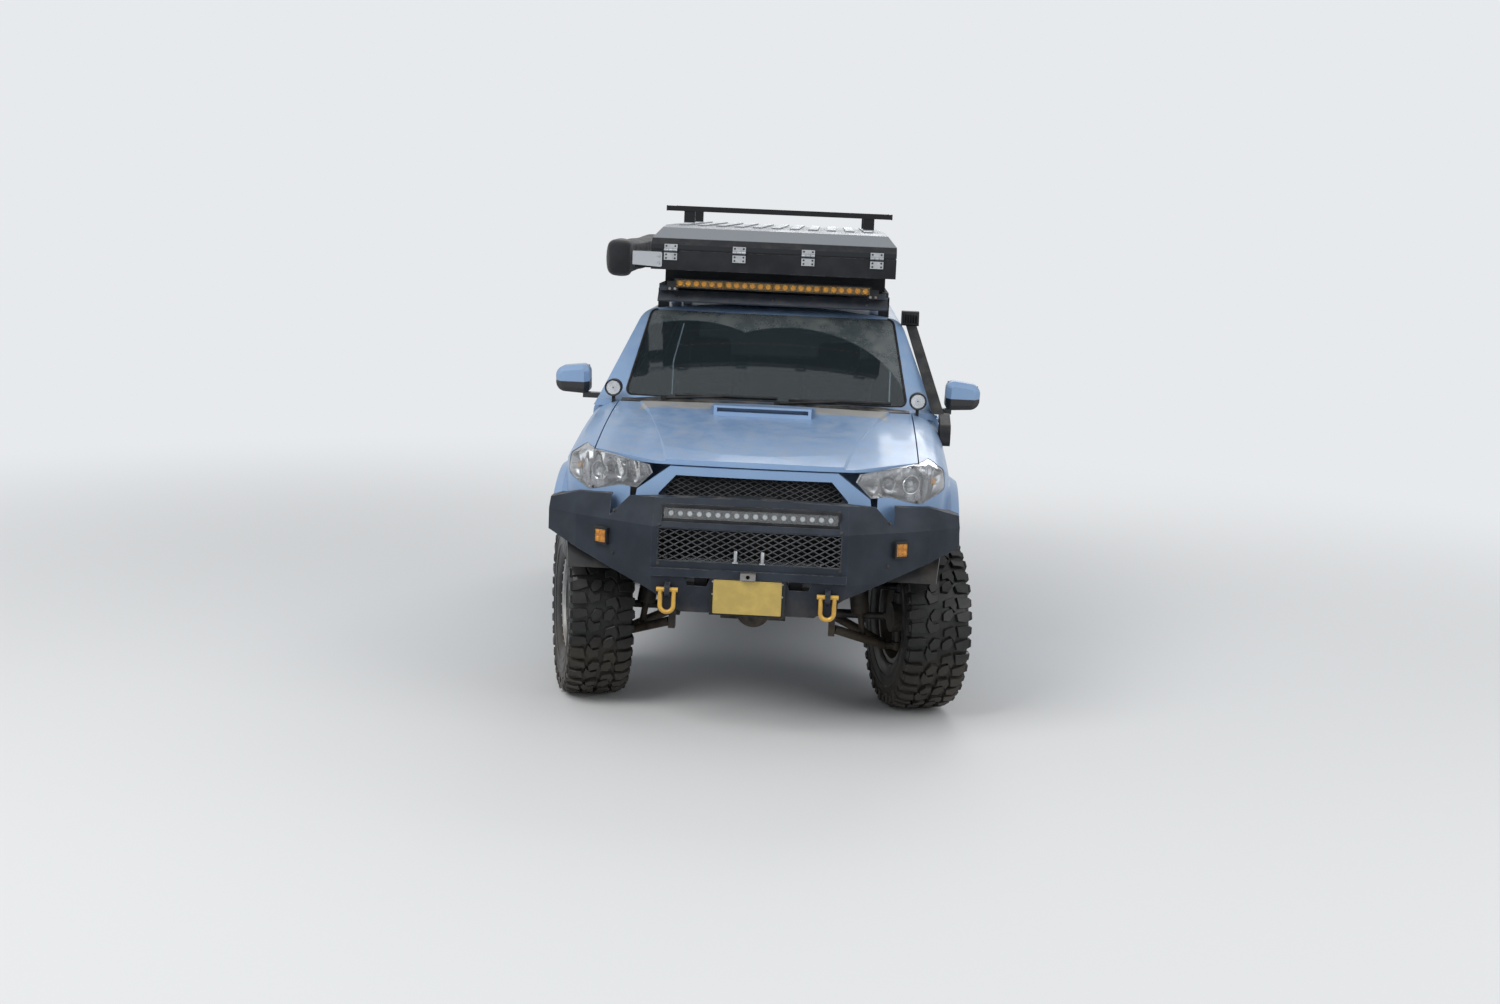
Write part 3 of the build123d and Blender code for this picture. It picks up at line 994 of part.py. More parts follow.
LID_SIDE = [(TENT_FRONT_Y + 8, TENT_SEAM_Z + 6), (TENT_FRONT_Y + 8, TENT_SEAM_Z + 30),
            (TENT_FRONT_Y + 110, TENT_LID_TOP_Z - 12), (TENT_FRONT_Y + 200, TENT_LID_TOP_Z),
            (TENT_REAR_Y - 40, TENT_LID_TOP_Z), (TENT_REAR_Y, TENT_LID_TOP_Z - 30),
            (TENT_REAR_Y, TENT_SEAM_Z + 6)]
LID_FRONT = [(TENT_HALF_WIDTH, TENT_SEAM_Z + 6), (TENT_HALF_WIDTH, TENT_SEAM_Z + 62),
             (TENT_HALF_WIDTH - 58, TENT_LID_TOP_Z)]


def lid_form(inset):
    side = along_x(shrink(outline(LID_SIDE), inset), -FAR / 3, FAR / 3)
    return side & along_y(shrink(outline(both_sides(LID_FRONT)), inset), -FAR / 3, FAR)


lid = lid_form(0) - (lid_form(14) + block(-TENT_HALF_WIDTH + 14, TENT_HALF_WIDTH - 14, TENT_FRONT_Y + 22,
                                          TENT_REAR_Y - 14, TENT_SEAM_Z, TENT_SEAM_Z + 30))
for y in (0, 680):
    lid += block(-625, 625, y - 20, y + 20, LOAD_BAR_Z - 14, LOAD_BAR_Z + 14)
    for x in (-500, 500):
        lid += block(x - 30, x + 30, y - 16, y + 16, TENT_LID_TOP_Z - 5, LOAD_BAR_Z - 10)
for index in range(-5, 6):
    x = 98 * index
    lid += block(x - 24, x + 24, TENT_FRONT_Y + 212, TENT_REAR_Y - 70, TENT_LID_TOP_Z - 1, TENT_LID_TOP_Z + 8)
for x in TENT_HINGE_X:
    knuckle_end = 12 - GLASS_SEAT
    leaf = rod((x - knuckle_end, TENT_PIN_Y, TENT_PIN_Z), (x + knuckle_end, TENT_PIN_Y, TENT_PIN_Z), 7)
    leaf += block(x - knuckle_end, x + knuckle_end, TENT_PIN_Y, TENT_FRONT_Y + 12, TENT_PIN_Z + 1, TENT_PIN_Z + 7)
    leaf += block(x - 34, x + 34, TENT_FRONT_Y + 4, TENT_FRONT_Y + 12, TENT_SEAM_Z + 8, TENT_SEAM_Z + 32)
    leaf -= rod((x - 20, TENT_PIN_Y, TENT_PIN_Z), (x + 20, TENT_PIN_Y, TENT_PIN_Z), 4 + GLASS_SEAT)
    lid += leaf
save("tent_lid", biggest(lid))
awning = along_y(outline([(AWNING_X - 82, 2004, 30), (AWNING_X + 84, 2004, 30), (AWNING_X + 84, 2222, 40),
                          (AWNING_X - 82, 2222, 40)]), -760, 1240)
save("awning_bag", awning)

# Cabin furniture
seats = []
for x in (-370, 370):
    seat = block(x - 240, x + 240, -430, 80, FLOOR_TOP_Z + 60, FLOOR_TOP_Z + 230)
    back = block(x - 230, x + 230, 0, 110, FLOOR_TOP_Z + 180, FLOOR_TOP_Z + 760)
    seat += back.rotate(Axis((0, 60, FLOOR_TOP_Z + 180), (1, 0, 0)), -14)
    seat += Pos(x, 205, FLOOR_TOP_Z + 815) * Rot(-14, 0, 0) * Box(250, 90, 170)
    seat += block(x - 190, x + 190, -380, 40, FLOOR_TOP_Z + GLASS_SEAT, FLOOR_TOP_Z + 70)
    seats.append(seat)
bench = block(-640, 640, 430, 780, FLOOR_TOP_Z + GLASS_SEAT, FLOOR_TOP_Z + 290)
bench_back = block(-530, 530, 790, 900, CARGO_FLOOR_RISE + FLOOR_TOP_Z + 20, FLOOR_TOP_Z + 800)
bench += bench_back.rotate(Axis((0, 780, FLOOR_TOP_Z + 200), (1, 0, 0)), -10)
bench = bench - block(-FAR, FAR, CARGO_Y - GLASS_SEAT, FAR, 0, FLOOR_TOP_Z + CARGO_FLOOR_RISE + GLASS_SEAT)
seats.append(biggest(bench))
save("seats", Compound(children=[piece for seat in seats for piece in seat.solids()]))
dash = along_x(outline([(-1000, 1180), (-1040, 1290, 30), (-1000, 1370, 40), (-760, 1350, 60), (-700, 1180, 60),
                        (-780, 1060), (-940, 1060)]), -770, 770) & cabin(OPENING_DEPTH + 5)
dash += block(-120, 120, -930, -420, FLOOR_TOP_Z + GLASS_SEAT, 1100)
wheel_seat = Pos(370, -560, 1190) * Rot(-62, 0, 0)
dash += wheel_seat * Torus(180, 15)
dash += wheel_seat * Cylinder(60, 30)
dash += wheel_seat * Box(340, 30, 16)
dash += rod((370, -560, 1190), (370, -760, 1160), 30)
save("dashboard", biggest(dash))
print("all done")
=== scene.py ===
import json
import math

import bpy
from mathutils import Matrix, Vector

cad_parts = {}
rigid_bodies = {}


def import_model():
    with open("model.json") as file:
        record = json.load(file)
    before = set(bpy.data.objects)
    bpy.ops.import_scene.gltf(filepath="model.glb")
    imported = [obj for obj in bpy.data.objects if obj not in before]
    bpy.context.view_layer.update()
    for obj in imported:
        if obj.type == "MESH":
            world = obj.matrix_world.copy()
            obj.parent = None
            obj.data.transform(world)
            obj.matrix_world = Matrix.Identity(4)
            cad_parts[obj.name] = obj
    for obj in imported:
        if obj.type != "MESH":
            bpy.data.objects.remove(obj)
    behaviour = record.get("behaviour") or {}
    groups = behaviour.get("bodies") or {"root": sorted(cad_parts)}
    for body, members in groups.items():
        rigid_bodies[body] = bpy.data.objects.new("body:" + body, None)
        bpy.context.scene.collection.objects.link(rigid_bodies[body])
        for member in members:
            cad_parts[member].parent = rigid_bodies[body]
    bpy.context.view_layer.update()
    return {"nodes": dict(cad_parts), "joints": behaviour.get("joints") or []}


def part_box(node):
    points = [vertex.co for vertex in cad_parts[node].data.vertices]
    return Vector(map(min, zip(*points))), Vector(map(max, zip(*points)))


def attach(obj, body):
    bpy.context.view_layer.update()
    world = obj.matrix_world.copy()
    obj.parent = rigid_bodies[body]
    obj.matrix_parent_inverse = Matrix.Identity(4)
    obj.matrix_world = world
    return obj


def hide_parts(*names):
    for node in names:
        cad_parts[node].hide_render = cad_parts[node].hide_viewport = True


bpy.context.preferences.edit.use_global_undo = False
for leftover in list(bpy.data.objects):
    bpy.data.objects.remove(leftover)
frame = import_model()
nodes = frame["nodes"]
jointAt = {joint["name"]: joint for joint in frame["joints"]}
print("frame loaded")

# Camera at the photograph's place, solved from the vehicle's own sizes

camera = {
    "place": (0.296, -10.520, 2.409),
    "yaw": -2.13,
    "pitch": 9.02,
    "roll": 2.454,
    "lens": 44.75,
}


def addCamera():
    yaw, pitch, roll = (math.radians(camera[key]) for key in ("yaw", "pitch", "roll"))
    ahead = Vector((math.sin(yaw) * math.cos(pitch), math.cos(yaw) * math.cos(pitch), -math.sin(pitch)))
    right = Vector((math.cos(yaw), -math.sin(yaw), 0))
    up = right.cross(ahead)
    tiltedRight = math.cos(roll) * right + math.sin(roll) * up
    tiltedUp = -math.sin(roll) * right + math.cos(roll) * up
    data = bpy.data.cameras.new("photoCamera")
    data.lens = camera["lens"]
    data.sensor_width = 36
    holder = bpy.data.objects.new("photoCamera", data)
    bpy.context.scene.collection.objects.link(holder)
    turn = Matrix((tiltedRight, tiltedUp, -ahead)).transposed().to_4x4()
    holder.matrix_world = Matrix.Translation(camera["place"]) @ turn
    bpy.context.scene.camera = holder


studio = {
    "floorColour": (0.70, 0.70, 0.69, 1),
    "skyColour": (0.80, 0.84, 0.90, 1),
    "skyLevel": 0.55,
    "backdropColour": (0.80, 0.82, 0.84, 1),
    "floorFade": (3.2, 9.0),
    "floorSize": 60,
    "lampsAim": (0, -0.4, 0.9),
    "lamps": [  # name, place, size, watts
        ("keyLight", (-5.5, -8.0, 8.5), 6.0, 740),
        ("fillLight", (7.0, -6.0, 5.0), 6.0, 240),
        ("rearLight", (2.0, 9.0, 7.5), 6.0, 420),
    ],
}


def addStudio():
    scene = bpy.context.scene
    scene.view_settings.view_transform = "Standard"
    world = bpy.data.worlds.new("softSky")
    world.use_nodes = True
    tree = world.node_tree
    soft = tree.nodes["Background"]
    soft.inputs["Color"].default_value = studio["skyColour"]
    soft.inputs["Strength"].default_value = studio["skyLevel"]
    shown = addNode(tree, "Background", {"Color": studio["backdropColour"], "Strength": 1.0})
    mixShaders(tree, seenRay(tree), soft, shown, "World Output")
    scene.world = world
    for name, place, size, watts in studio["lamps"]:
        data = bpy.data.lights.new(name, "AREA")
        data.size = size
        data.energy = watts
        lamp = bpy.data.objects.new(name, data)
        scene.collection.objects.link(lamp)
        lamp.location = place
        lamp.rotation_euler = (Vector(studio["lampsAim"]) - Vector(place)).to_track_quat("-Z", "Y").to_euler()
    bpy.ops.mesh.primitive_plane_add(size=studio["floorSize"], location=(0, 0, 0))
    floor = bpy.context.object
    floor.name = "paleFloor"
    material, tree, shader, place = startMaterial("paleFloor")
    shader.inputs["Base Color"].default_value = studio["floorColour"]
    shader.inputs["Roughness"].default_value = 0.9
    far = addNode(tree, "Emission", {"Color": studio["backdropColour"], "Strength": 1.0})
    span = addNode(tree, "VectorMath", operation="LENGTH")
    tree.links.new(place, span.inputs[0])
    share = times(tree, fade(tree, span.outputs["Value"], *studio["floorFade"]), seenRay(tree))
    mixShaders(tree, share, shader, far, "Material Output")
    floor.data.materials.append(material)


# Small helpers for node trees


def addNode(tree, kind, inputs=None, **fields):
    made = tree.nodes.new("ShaderNode" + kind)
    for field, value in fields.items():
        setattr(made, field, value)
    for socket, value in (inputs or {}).items():
        made.inputs[socket].default_value = value
    return made


def feed(tree, socket, value):
    if isinstance(value, (int, float)):
        socket.default_value = value
    else:
        tree.links.new(value, socket)


def sums(tree, operation, first, second=0.0, clamp=False):
    made = addNode(tree, "Math", operation=operation, use_clamp=clamp)
    feed(tree, made.inputs[0], first)
    feed(tree, made.inputs[1], second)
    return made.outputs[0]


def fade(tree, value, low, high, toLow=0.0, toHigh=1.0):
    # Runs from toLow to toHigh as value goes from low to high.
    made = addNode(tree, "MapRange", interpolation_type="SMOOTHSTEP", clamp=True)
    feed(tree, made.inputs["Value"], value)
    made.inputs["From Min"].default_value = low
    made.inputs["From Max"].default_value = high
    made.inputs["To Min"].default_value = toLow
    made.inputs["To Max"].default_value = toHigh
    return made.outputs["Result"]


def times(tree, *values):
    product = values[0]
    for value in values[1:]:
        product = sums(tree, "MULTIPLY", product, value)
    return product


def within(tree, value, low, high, soft=0.002):
    # 1 between low and high, 0 outside.
    return times(tree, fade(tree, value, low, low + soft), fade(tree, value, high, high - soft))


def seenRay(tree):
    # 1 for rays from the camera, through glass or off a gloss, 0 for the light that falls on things.
    rays = addNode(tree, "LightPath").outputs
    seen = sums(tree, "MAXIMUM", rays["Is Camera Ray"], rays["Is Transmission Ray"])
    return sums(tree, "MAXIMUM", seen, rays["Is Glossy Ray"])


def speckle(tree, where, scale, detail=4.0, rough=0.55):
    made = addNode(tree, "TexNoise", {"Scale": scale, "Detail": detail, "Roughness": rough})
    tree.links.new(where, made.inputs["Vector"])
    return made.outputs["Fac"]


def blendColour(tree, share, first, second):
    made = addNode(tree, "Mix", data_type="RGBA")
    feed(tree, made.inputs[0], share)
    for socket, value in ((made.inputs[6], first), (made.inputs[7], second)):
        if isinstance(value, tuple):
            socket.default_value = (*value, 1)
        else:
            tree.links.new(value, socket)
    return made.outputs[2]


def mixShaders(tree, share, near, far, output):
    mix = addNode(tree, "MixShader")
    for socket, value in zip(mix.inputs, (share, near.outputs[0], far.outputs[0])):
        tree.links.new(value, socket)
    tree.links.new(mix.outputs[0], tree.nodes[output].inputs[0])


def startMaterial(name):
    material = bpy.data.materials.new(name)
    material.use_nodes = True
    tree = material.node_tree
    place = addNode(tree, "TexCoord").outputs["Object"]
    return material, tree, tree.nodes["Principled BSDF"], place


addCamera()
addStudio()
print("camera and studio ready")

# Finishes. Each has two colours that it drifts between, its gloss, its grain and how dusty it is.
finishes = {
    "bluePaint": dict(
        colour=(0.185, 0.295, 0.475), drift=(0.225, 0.345, 0.525), patch=1.6, gloss=(0.36, 0.50),
        grain=260, relief=0.012, metal=0.12, coat=0.3, mud=0.55, mudTop=1.05, dustUp=0.30,
    ),
    "bumperPaint": dict(
        colour=(0.016, 0.021, 0.030), drift=(0.026, 0.033, 0.045), patch=5, gloss=(0.42, 0.66),
        grain=420, relief=0.25, shine=0.22, mud=0.30, mudTop=0.95, dustUp=0.25,
        wear=(0.10, 0.115, 0.14),
    ),
    "blackMetal": dict(
        colour=(0.009, 0.010, 0.012), drift=(0.020, 0.021, 0.024), patch=6, gloss=(0.35, 0.55),
        grain=300, relief=0.12, shine=0.22, mud=0.35, mudTop=0.85, dustUp=0.25,
        wear=(0.10, 0.10, 0.11),
    ),
    "blackPlastic": dict(
        colour=(0.010, 0.0105, 0.012), drift=(0.028, 0.029, 0.031), patch=9, gloss=(0.42, 0.62),
        grain=700, relief=0.18, shine=0.25, mud=0.35, mudTop=0.8, dustUp=0.10,
    ),
    "satinAluminium": dict(
        colour=(0.40, 0.42, 0.44), drift=(0.50, 0.52, 0.54), patch=2, gloss=(0.46, 0.58), grain=120,
        relief=0.05, metal=0.60, mud=0.5, mudTop=0.8, dustUp=0.12,
    ),
    "castMetal": dict(
        colour=(0.035, 0.035, 0.036), drift=(0.07, 0.068, 0.065), patch=14, gloss=(0.5, 0.75),
        grain=160, relief=0.35, metal=0.6, mud=0.45, mudTop=0.8, dustUp=0.18,
    ),
    "wornSteel": dict(
        colour=(0.30, 0.30, 0.31), drift=(0.20, 0.165, 0.13), patch=18, gloss=(0.32, 0.6),
        grain=140, relief=0.12, metal=0.9, mud=0.5, mudTop=0.8, dustUp=0.3,
    ),
    "goldPaint": dict(
        colour=(0.62, 0.36, 0.055), drift=(0.48, 0.27, 0.05), patch=22, gloss=(0.32, 0.5),
        grain=180, relief=0.08, metal=0.25, coat=0.2, mud=0.35, mudTop=0.8, dustUp=0.25,
        wear=(0.42, 0.38, 0.32),
    ),
    "goldSheet": dict(
        colour=(0.50, 0.36, 0.090), drift=(0.42, 0.30, 0.075), patch=16, gloss=(0.30, 0.46),
        grain=90, relief=0.02, metal=0.1, coat=0.3, mud=0.45, mudTop=0.72, dustUp=0.2,
    ),
    "tyreRubber": dict(
        colour=(0.006, 0.006, 0.0065), drift=(0.014, 0.0135, 0.013), patch=9, gloss=(0.45, 0.8),
        grain=240, relief=0.3, shine=0.3, coat=0.25, mud=0.10, mudTop=0.45, dustUp=0.05,
    ),
    "wheelPaint": dict(
        colour=(0.016, 0.017, 0.019), drift=(0.035, 0.036, 0.038), patch=12, gloss=(0.3, 0.5),
        grain=200, relief=0.05, metal=0.4, coat=0.2, mud=0.25, mudTop=0.7, dustUp=0.08,
        wear=(0.14, 0.14, 0.14),
    ),
    "wheelRing": dict(
        colour=(0.34, 0.35, 0.36), drift=(0.46, 0.47, 0.48), patch=20, gloss=(0.25, 0.45),
        grain=200, relief=0.05, metal=0.9, mud=0.5, mudTop=0.6, dustUp=0.1,
    ),
    "bagCloth": dict(
        colour=(0.013, 0.0135, 0.015), drift=(0.026, 0.027, 0.030), patch=7, gloss=(0.7, 0.9),
        grain=900, relief=0.5, shine=0.12, dustUp=0.30, weave=620,
    ),
    "seatCloth": dict(
        colour=(0.045, 0.046, 0.050), drift=(0.075, 0.076, 0.080), patch=11, gloss=(0.75, 0.92),
        grain=800, relief=0.4, dustUp=0.05, weave=480,
    ),
    "meshPaint": dict(
        colour=(0.030, 0.032, 0.036), drift=(0.055, 0.057, 0.062), patch=7, gloss=(0.40, 0.58),
        grain=300, relief=0.08, mud=0.35, mudTop=0.9, dustUp=0.2,
    ),
    "rubberSeal": dict(
        colour=(0.007, 0.007, 0.008), drift=(0.016, 0.016, 0.017), patch=16, gloss=(0.5, 0.7),
        grain=500, relief=0.08, shine=0.25, mud=0.3, mudTop=0.8, dustUp=0.15,
    ),
    "chrome": dict(
        colour=(0.55, 0.56, 0.58), drift=(0.70, 0.71, 0.73), patch=30, gloss=(0.06, 0.2), grain=120,
        relief=0.01, metal=1.0, dustUp=0.1,
    ),
    "lampHousing": dict(
        colour=(0.30, 0.31, 0.33), drift=(0.42, 0.43, 0.45), patch=5, gloss=(0.22, 0.36), grain=150,
        relief=0.03, metal=0.7, coat=0.2, dustUp=0.1,
    ),
    "hingeSteel": dict(
        colour=(0.38, 0.40, 0.42), drift=(0.50, 0.51, 0.52), patch=30, gloss=(0.22, 0.4), grain=160,
        relief=0.04, metal=0.8, dustUp=0.15,
    ),
}
plainFinish = {"metal": 0.0, "coat": 0.0, "shine": 0.5, "mud": 0.0, "mudTop": 0.1}
mudColour = (0.23, 0.175, 0.115)
dustColour = (0.40, 0.355, 0.28)


def splitPlace(tree, place):
    parts = addNode(tree, "SeparateXYZ")
    tree.links.new(place, parts.inputs[0])
    return parts.outputs


def upwards(tree):
    return splitPlace(tree, addNode(tree, "NewGeometry").outputs["Normal"])[2]


def edgeShare(tree, radius):
    # Near 1 along convex and concave edges of a solid, 0 on its flats.
    rounded = addNode(tree, "Bevel", {"Radius": radius}, samples=4)
    flat = addNode(tree, "NewGeometry")
    turned = addNode(tree, "VectorMath", operation="DOT_PRODUCT")
    tree.links.new(rounded.outputs[0], turned.inputs[0])
    tree.links.new(flat.outputs["Normal"], turned.inputs[1])
    return fade(tree, turned.outputs["Value"], 0.985, 0.86)


def addRelief(tree, shader, height, strength, distance=0.002):
    relief = addNode(tree, "Bump", {"Strength": strength, "Distance": distance})
    tree.links.new(height, relief.inputs["Height"])
    tree.links.new(relief.outputs[0], shader.inputs["Normal"])


def makeFinish(name, extra=None):
    # A material from the finishes table; extra(tree, place, colour) may lay more colours over it.
    look = {**plainFinish, **finishes[name]}
    material, tree, shader, place = startMaterial(name if extra is None else name + extra.__name__)
    parts = splitPlace(tree, place)
    drift = fade(tree, speckle(tree, place, look["patch"], 6), 0.35, 0.68)
    colour = blendColour(tree, drift, look["colour"], look["drift"])
    grain = speckle(tree, place, look["grain"], 3)
    if "wear" in look:
        worn = times(tree, edgeShare(tree, 0.004), fade(tree, speckle(tree, place, 38, 6), 0.42, 0.60))
        colour = blendColour(tree, worn, colour, look["wear"])
    if extra is not None:
        colour = extra(tree, place, colour)
    smear = speckle(tree, place, 7, 9, 0.66)
    lowDown = fade(tree, parts[2], look["mudTop"], 0.25)
    splashed = sums(tree, "ADD", smear, times(tree, lowDown, 0.25))
    mud = times(tree, fade(tree, splashed, 0.52, 0.80), times(tree, lowDown, look["mud"]))
    settled = times(tree, fade(tree, upwards(tree), 0.55, 1.0),
                    fade(tree, speckle(tree, place, 11, 8, 0.7), 0.40, 0.72), look["dustUp"])
    colour = blendColour(tree, mud, colour, mudColour)
    colour = blendColour(tree, settled, colour, dustColour)
    tree.links.new(colour, shader.inputs["Base Color"])
    soiled = sums(tree, "MAXIMUM", mud, settled)
    gloss = fade(tree, smear, 0.3, 0.7, *look["gloss"])
    tree.links.new(sums(tree, "ADD", gloss, times(tree, soiled, 0.35), True), shader.inputs["Roughness"])
    if look["metal"]:
        tree.links.new(sums(tree, "SUBTRACT", look["metal"], soiled, True), shader.inputs["Metallic"])
    shader.inputs["Specular IOR Level"].default_value = look["shine"]
    shader.inputs["Coat Weight"].default_value = look["coat"]
    shader.inputs["Coat Roughness"].default_value = 0.12
    height = grain
    if "weave" in look:
        threads = []
        for direction in ("DIAGONAL", "Z"):
            wave = addNode(tree, "TexWave", {"Scale": look["weave"] / 6, "Distortion": 0.6},
                           bands_direction=direction)
            tree.links.new(place, wave.inputs["Vector"])
            threads.append(wave.outputs["Fac"])
        height = sums(tree, "ADD", grain, times(tree, *threads))
        shader.inputs["Sheen Weight"].default_value = 0.3
    addRelief(tree, shader, sums(tree, "ADD", height, times(tree, soiled, 1.5)), look["relief"])
    return material


cabinTrim = {
    "colour": (0.035, 0.035, 0.038),
    "sideX": 0.862, "bendZ": 1.34, "bend": 0.58, "shoulderZ": 1.40, "lean": 0.397,
    "ceilingZ": 1.850, "crown": 0.098,
    "screenFoot": (-1.094, 1.416), "screenRun": 1.362, "screenBow": 0.139, "screenWall": 0.062,
    "gateTop": (1.90, 1.876), "gateRun": 0.609, "gateWall": 0.055, "gateInside": 2.235,
    "floorZ": 0.744,
}


def insideCabin(tree, parts):
    # 1 on the walls' inner side, from the body's own slopes; 0 outside
    trim = cabinTrim
    squared = times(tree, parts[0], parts[0])
    higher = sums(tree, "MAXIMUM", sums(tree, "SUBTRACT", parts[2], trim["shoulderZ"]), 0.0)
    bent = sums(tree, "MAXIMUM", sums(tree, "SUBTRACT", parts[2], trim["bendZ"]), 0.0)
    bent = sums(tree, "MINIMUM", bent, trim["shoulderZ"] - trim["bendZ"])
    wall = sums(tree, "SUBTRACT", trim["sideX"], times(tree, higher, trim["lean"]))
    wall = sums(tree, "SUBTRACT", wall, times(tree, bent, trim["bend"]))
    footY, footZ = trim["screenFoot"]
    up = sums(tree, "MAXIMUM", sums(tree, "SUBTRACT", parts[2], footZ), 0.0)
    screen = sums(tree, "ADD", times(tree, up, trim["screenRun"]), footY + trim["screenWall"])
    screen = sums(tree, "ADD", screen, times(tree, squared, trim["screenBow"]))
    topY, topZ = trim["gateTop"]
    gate = times(tree, sums(tree, "SUBTRACT", topZ, parts[2]), trim["gateRun"])
    gate = sums(tree, "MINIMUM", sums(tree, "ADD", topY - trim["gateWall"], gate), trim["gateInside"])
    ceiling = sums(tree, "SUBTRACT", trim["ceilingZ"], times(tree, squared, trim["crown"]))
    share = fade(tree, parts[2], trim["floorZ"], trim["floorZ"] + 0.004)
    for outer, inner in ((wall, sums(tree, "ABSOLUTE", parts[0])), (parts[1], screen), (gate, parts[1]),
                         (ceiling, parts[2])):
        share = times(tree, share, fade(tree, sums(tree, "SUBTRACT", outer, inner), -0.002, 0.002))
    return share


archLiner = {"axlesY": (-1.52, 1.27), "centreZ": 0.585, "radius": 0.514, "colour": (0.012, 0.012, 0.013)}
hoodDust = {"startY": (-1.325, -1.305), "endY": (-1.08, -1.12), "lowZ": 1.33, "besideX": (0.250, 0.625),
            "thick": 0.8, "colour": (0.42, 0.385, 0.32)}
frontCorner = {"y": -1.93, "z": 0.955}


def radial(tree, first, second):
    # Distance from the place where both are 0
    return sums(tree, "SQRT", sums(tree, "ADD", times(tree, first, first), times(tree, second, second)))


def bodyPanels(tree, place, colour):
    # Black inside the wheel arches and at the front corners, and beige dust on the hood beside the scoop
    parts = splitPlace(tree, place)
    above = sums(tree, "SUBTRACT", parts[2], archLiner["centreZ"])
    for y in archLiner["axlesY"]:
        reach = radial(tree, sums(tree, "SUBTRACT", parts[1], y), above)
        inside = fade(tree, reach, archLiner["radius"] + 0.002, archLiner["radius"])
        colour = blendColour(tree, inside, colour, archLiner["colour"])
    corner = times(tree, fade(tree, parts[1], frontCorner["y"], frontCorner["y"] - 0.002),
                   fade(tree, parts[2], frontCorner["z"], frontCorner["z"] - 0.002))
    colour = blendColour(tree, corner, colour, archLiner["colour"])
    aside = sums(tree, "ABSOLUTE", parts[0])
    blown = times(tree, fade(tree, parts[1], *hoodDust["startY"]), fade(tree, parts[1], *hoodDust["endY"]),
                  fade(tree, parts[2], hoodDust["lowZ"], hoodDust["lowZ"] + 0.05),
                  within(tree, aside, *hoodDust["besideX"], 0.02),
                  fade(tree, speckle(tree, place, 6, 8, 0.62), 0.25, 0.50), hoodDust["thick"])
    return blendColour(tree, blown, colour, hoodDust["colour"])


blackout = {"colour": (0.010, 0.0105, 0.012), "postY": (0.035, 0.150), "postZ": (1.395, 1.79),
            "cowlY": -1.045, "cowlZ": (1.385, 1.427), "cowlX": 0.735}


def bodyTrim(tree, place, colour):
    # Body colour outside, dark trim inside the cabin, black middle post and cowl
    colour = bodyPanels(tree, place, colour)
    parts = splitPlace(tree, place)
    colour = blendColour(tree, insideCabin(tree, parts), colour, cabinTrim["colour"])
    post = times(tree, within(tree, parts[1], *blackout["postY"]),
                 within(tree, parts[2], *blackout["postZ"]))
    colour = blendColour(tree, post, colour, blackout["colour"])
    cowl = times(tree, fade(tree, parts[1], blackout["cowlY"], blackout["cowlY"] - 0.002),
                 within(tree, parts[2], *blackout["cowlZ"]),
                 fade(tree, sums(tree, "ABSOLUTE", parts[0]), blackout["cowlX"], blackout["cowlX"] - 0.002))
    return blendColour(tree, cowl, colour, blackout["colour"])


mirrorCap = {"z": 1.474, "y": -0.83, "rise": 0.12, "colour": (0.012, 0.0125, 0.014)}


def mirrorShell(tree, place, colour):
    # The mirror's upper cap is painted and its lower half and foot are black.
    parts = splitPlace(tree, place)
    line = times(tree, sums(tree, "SUBTRACT", parts[1], mirrorCap["y"]), mirrorCap["rise"])
    line = sums(tree, "ADD", mirrorCap["z"], line)
    below = fade(tree, sums(tree, "SUBTRACT", line, parts[2]), -0.002, 0.002)
    return blendColour(tree, below, colour, mirrorCap["colour"])


fairing = {"y": (-0.40, -0.44), "colour": (0.062, 0.072, 0.090)}


def rackMetal(tree, place, colour):
    # The rack's fairing is a shade bluer than its bars.
    front = fade(tree, splitPlace(tree, place)[1], *fairing["y"])
    return blendColour(tree, front, colour, fairing["colour"])


lidShadeAndBlackBands = [  # height where the band is absent, where it is full, colour: laid in this order
    # painted shade in the grooves between the lid's ribs
    (2.2975, 2.2960, (0.20, 0.215, 0.23)),
    # painted shade: the lid's front slope and sides darker than its top
    (2.2915, 2.2905, (0.25, 0.265, 0.285)),
    (2.226, 2.222, (0.018, 0.020, 0.024)),
    (2.302, 2.304, (0.012, 0.013, 0.015)),
]


def tentSkinWithShade(tree, place, colour):
    # The lid's grooves, front and sides are darkened with painted shade on the same sheet, and its foot and
    # its load bars are black.
    height = splitPlace(tree, place)[2]
    for absent, full, shade in lidShadeAndBlackBands:
        colour = blendColour(tree, fade(tree, height, absent, full), colour, shade)
    return colour


barCells = {
    "roof": {"half": 0.512, "front": -0.6415, "z": (1.9712, 2.0088), "group": 0.256, "pitch": 0.250 / 6,
             "first": 0.003, "reach": 0.018, "colour": (0.95, 0.56, 0.06), "deep": (0.10, 0.055, 0.004)},
    "bumper": {"half": 0.3878, "front": -2.3775, "z": (1.032, 1.066), "group": 0, "pitch": 0.752 / 18,
               "first": -0.376, "reach": 0.014, "colour": (0.66, 0.68, 0.70), "deep": (0.05, 0.052, 0.056)},
}


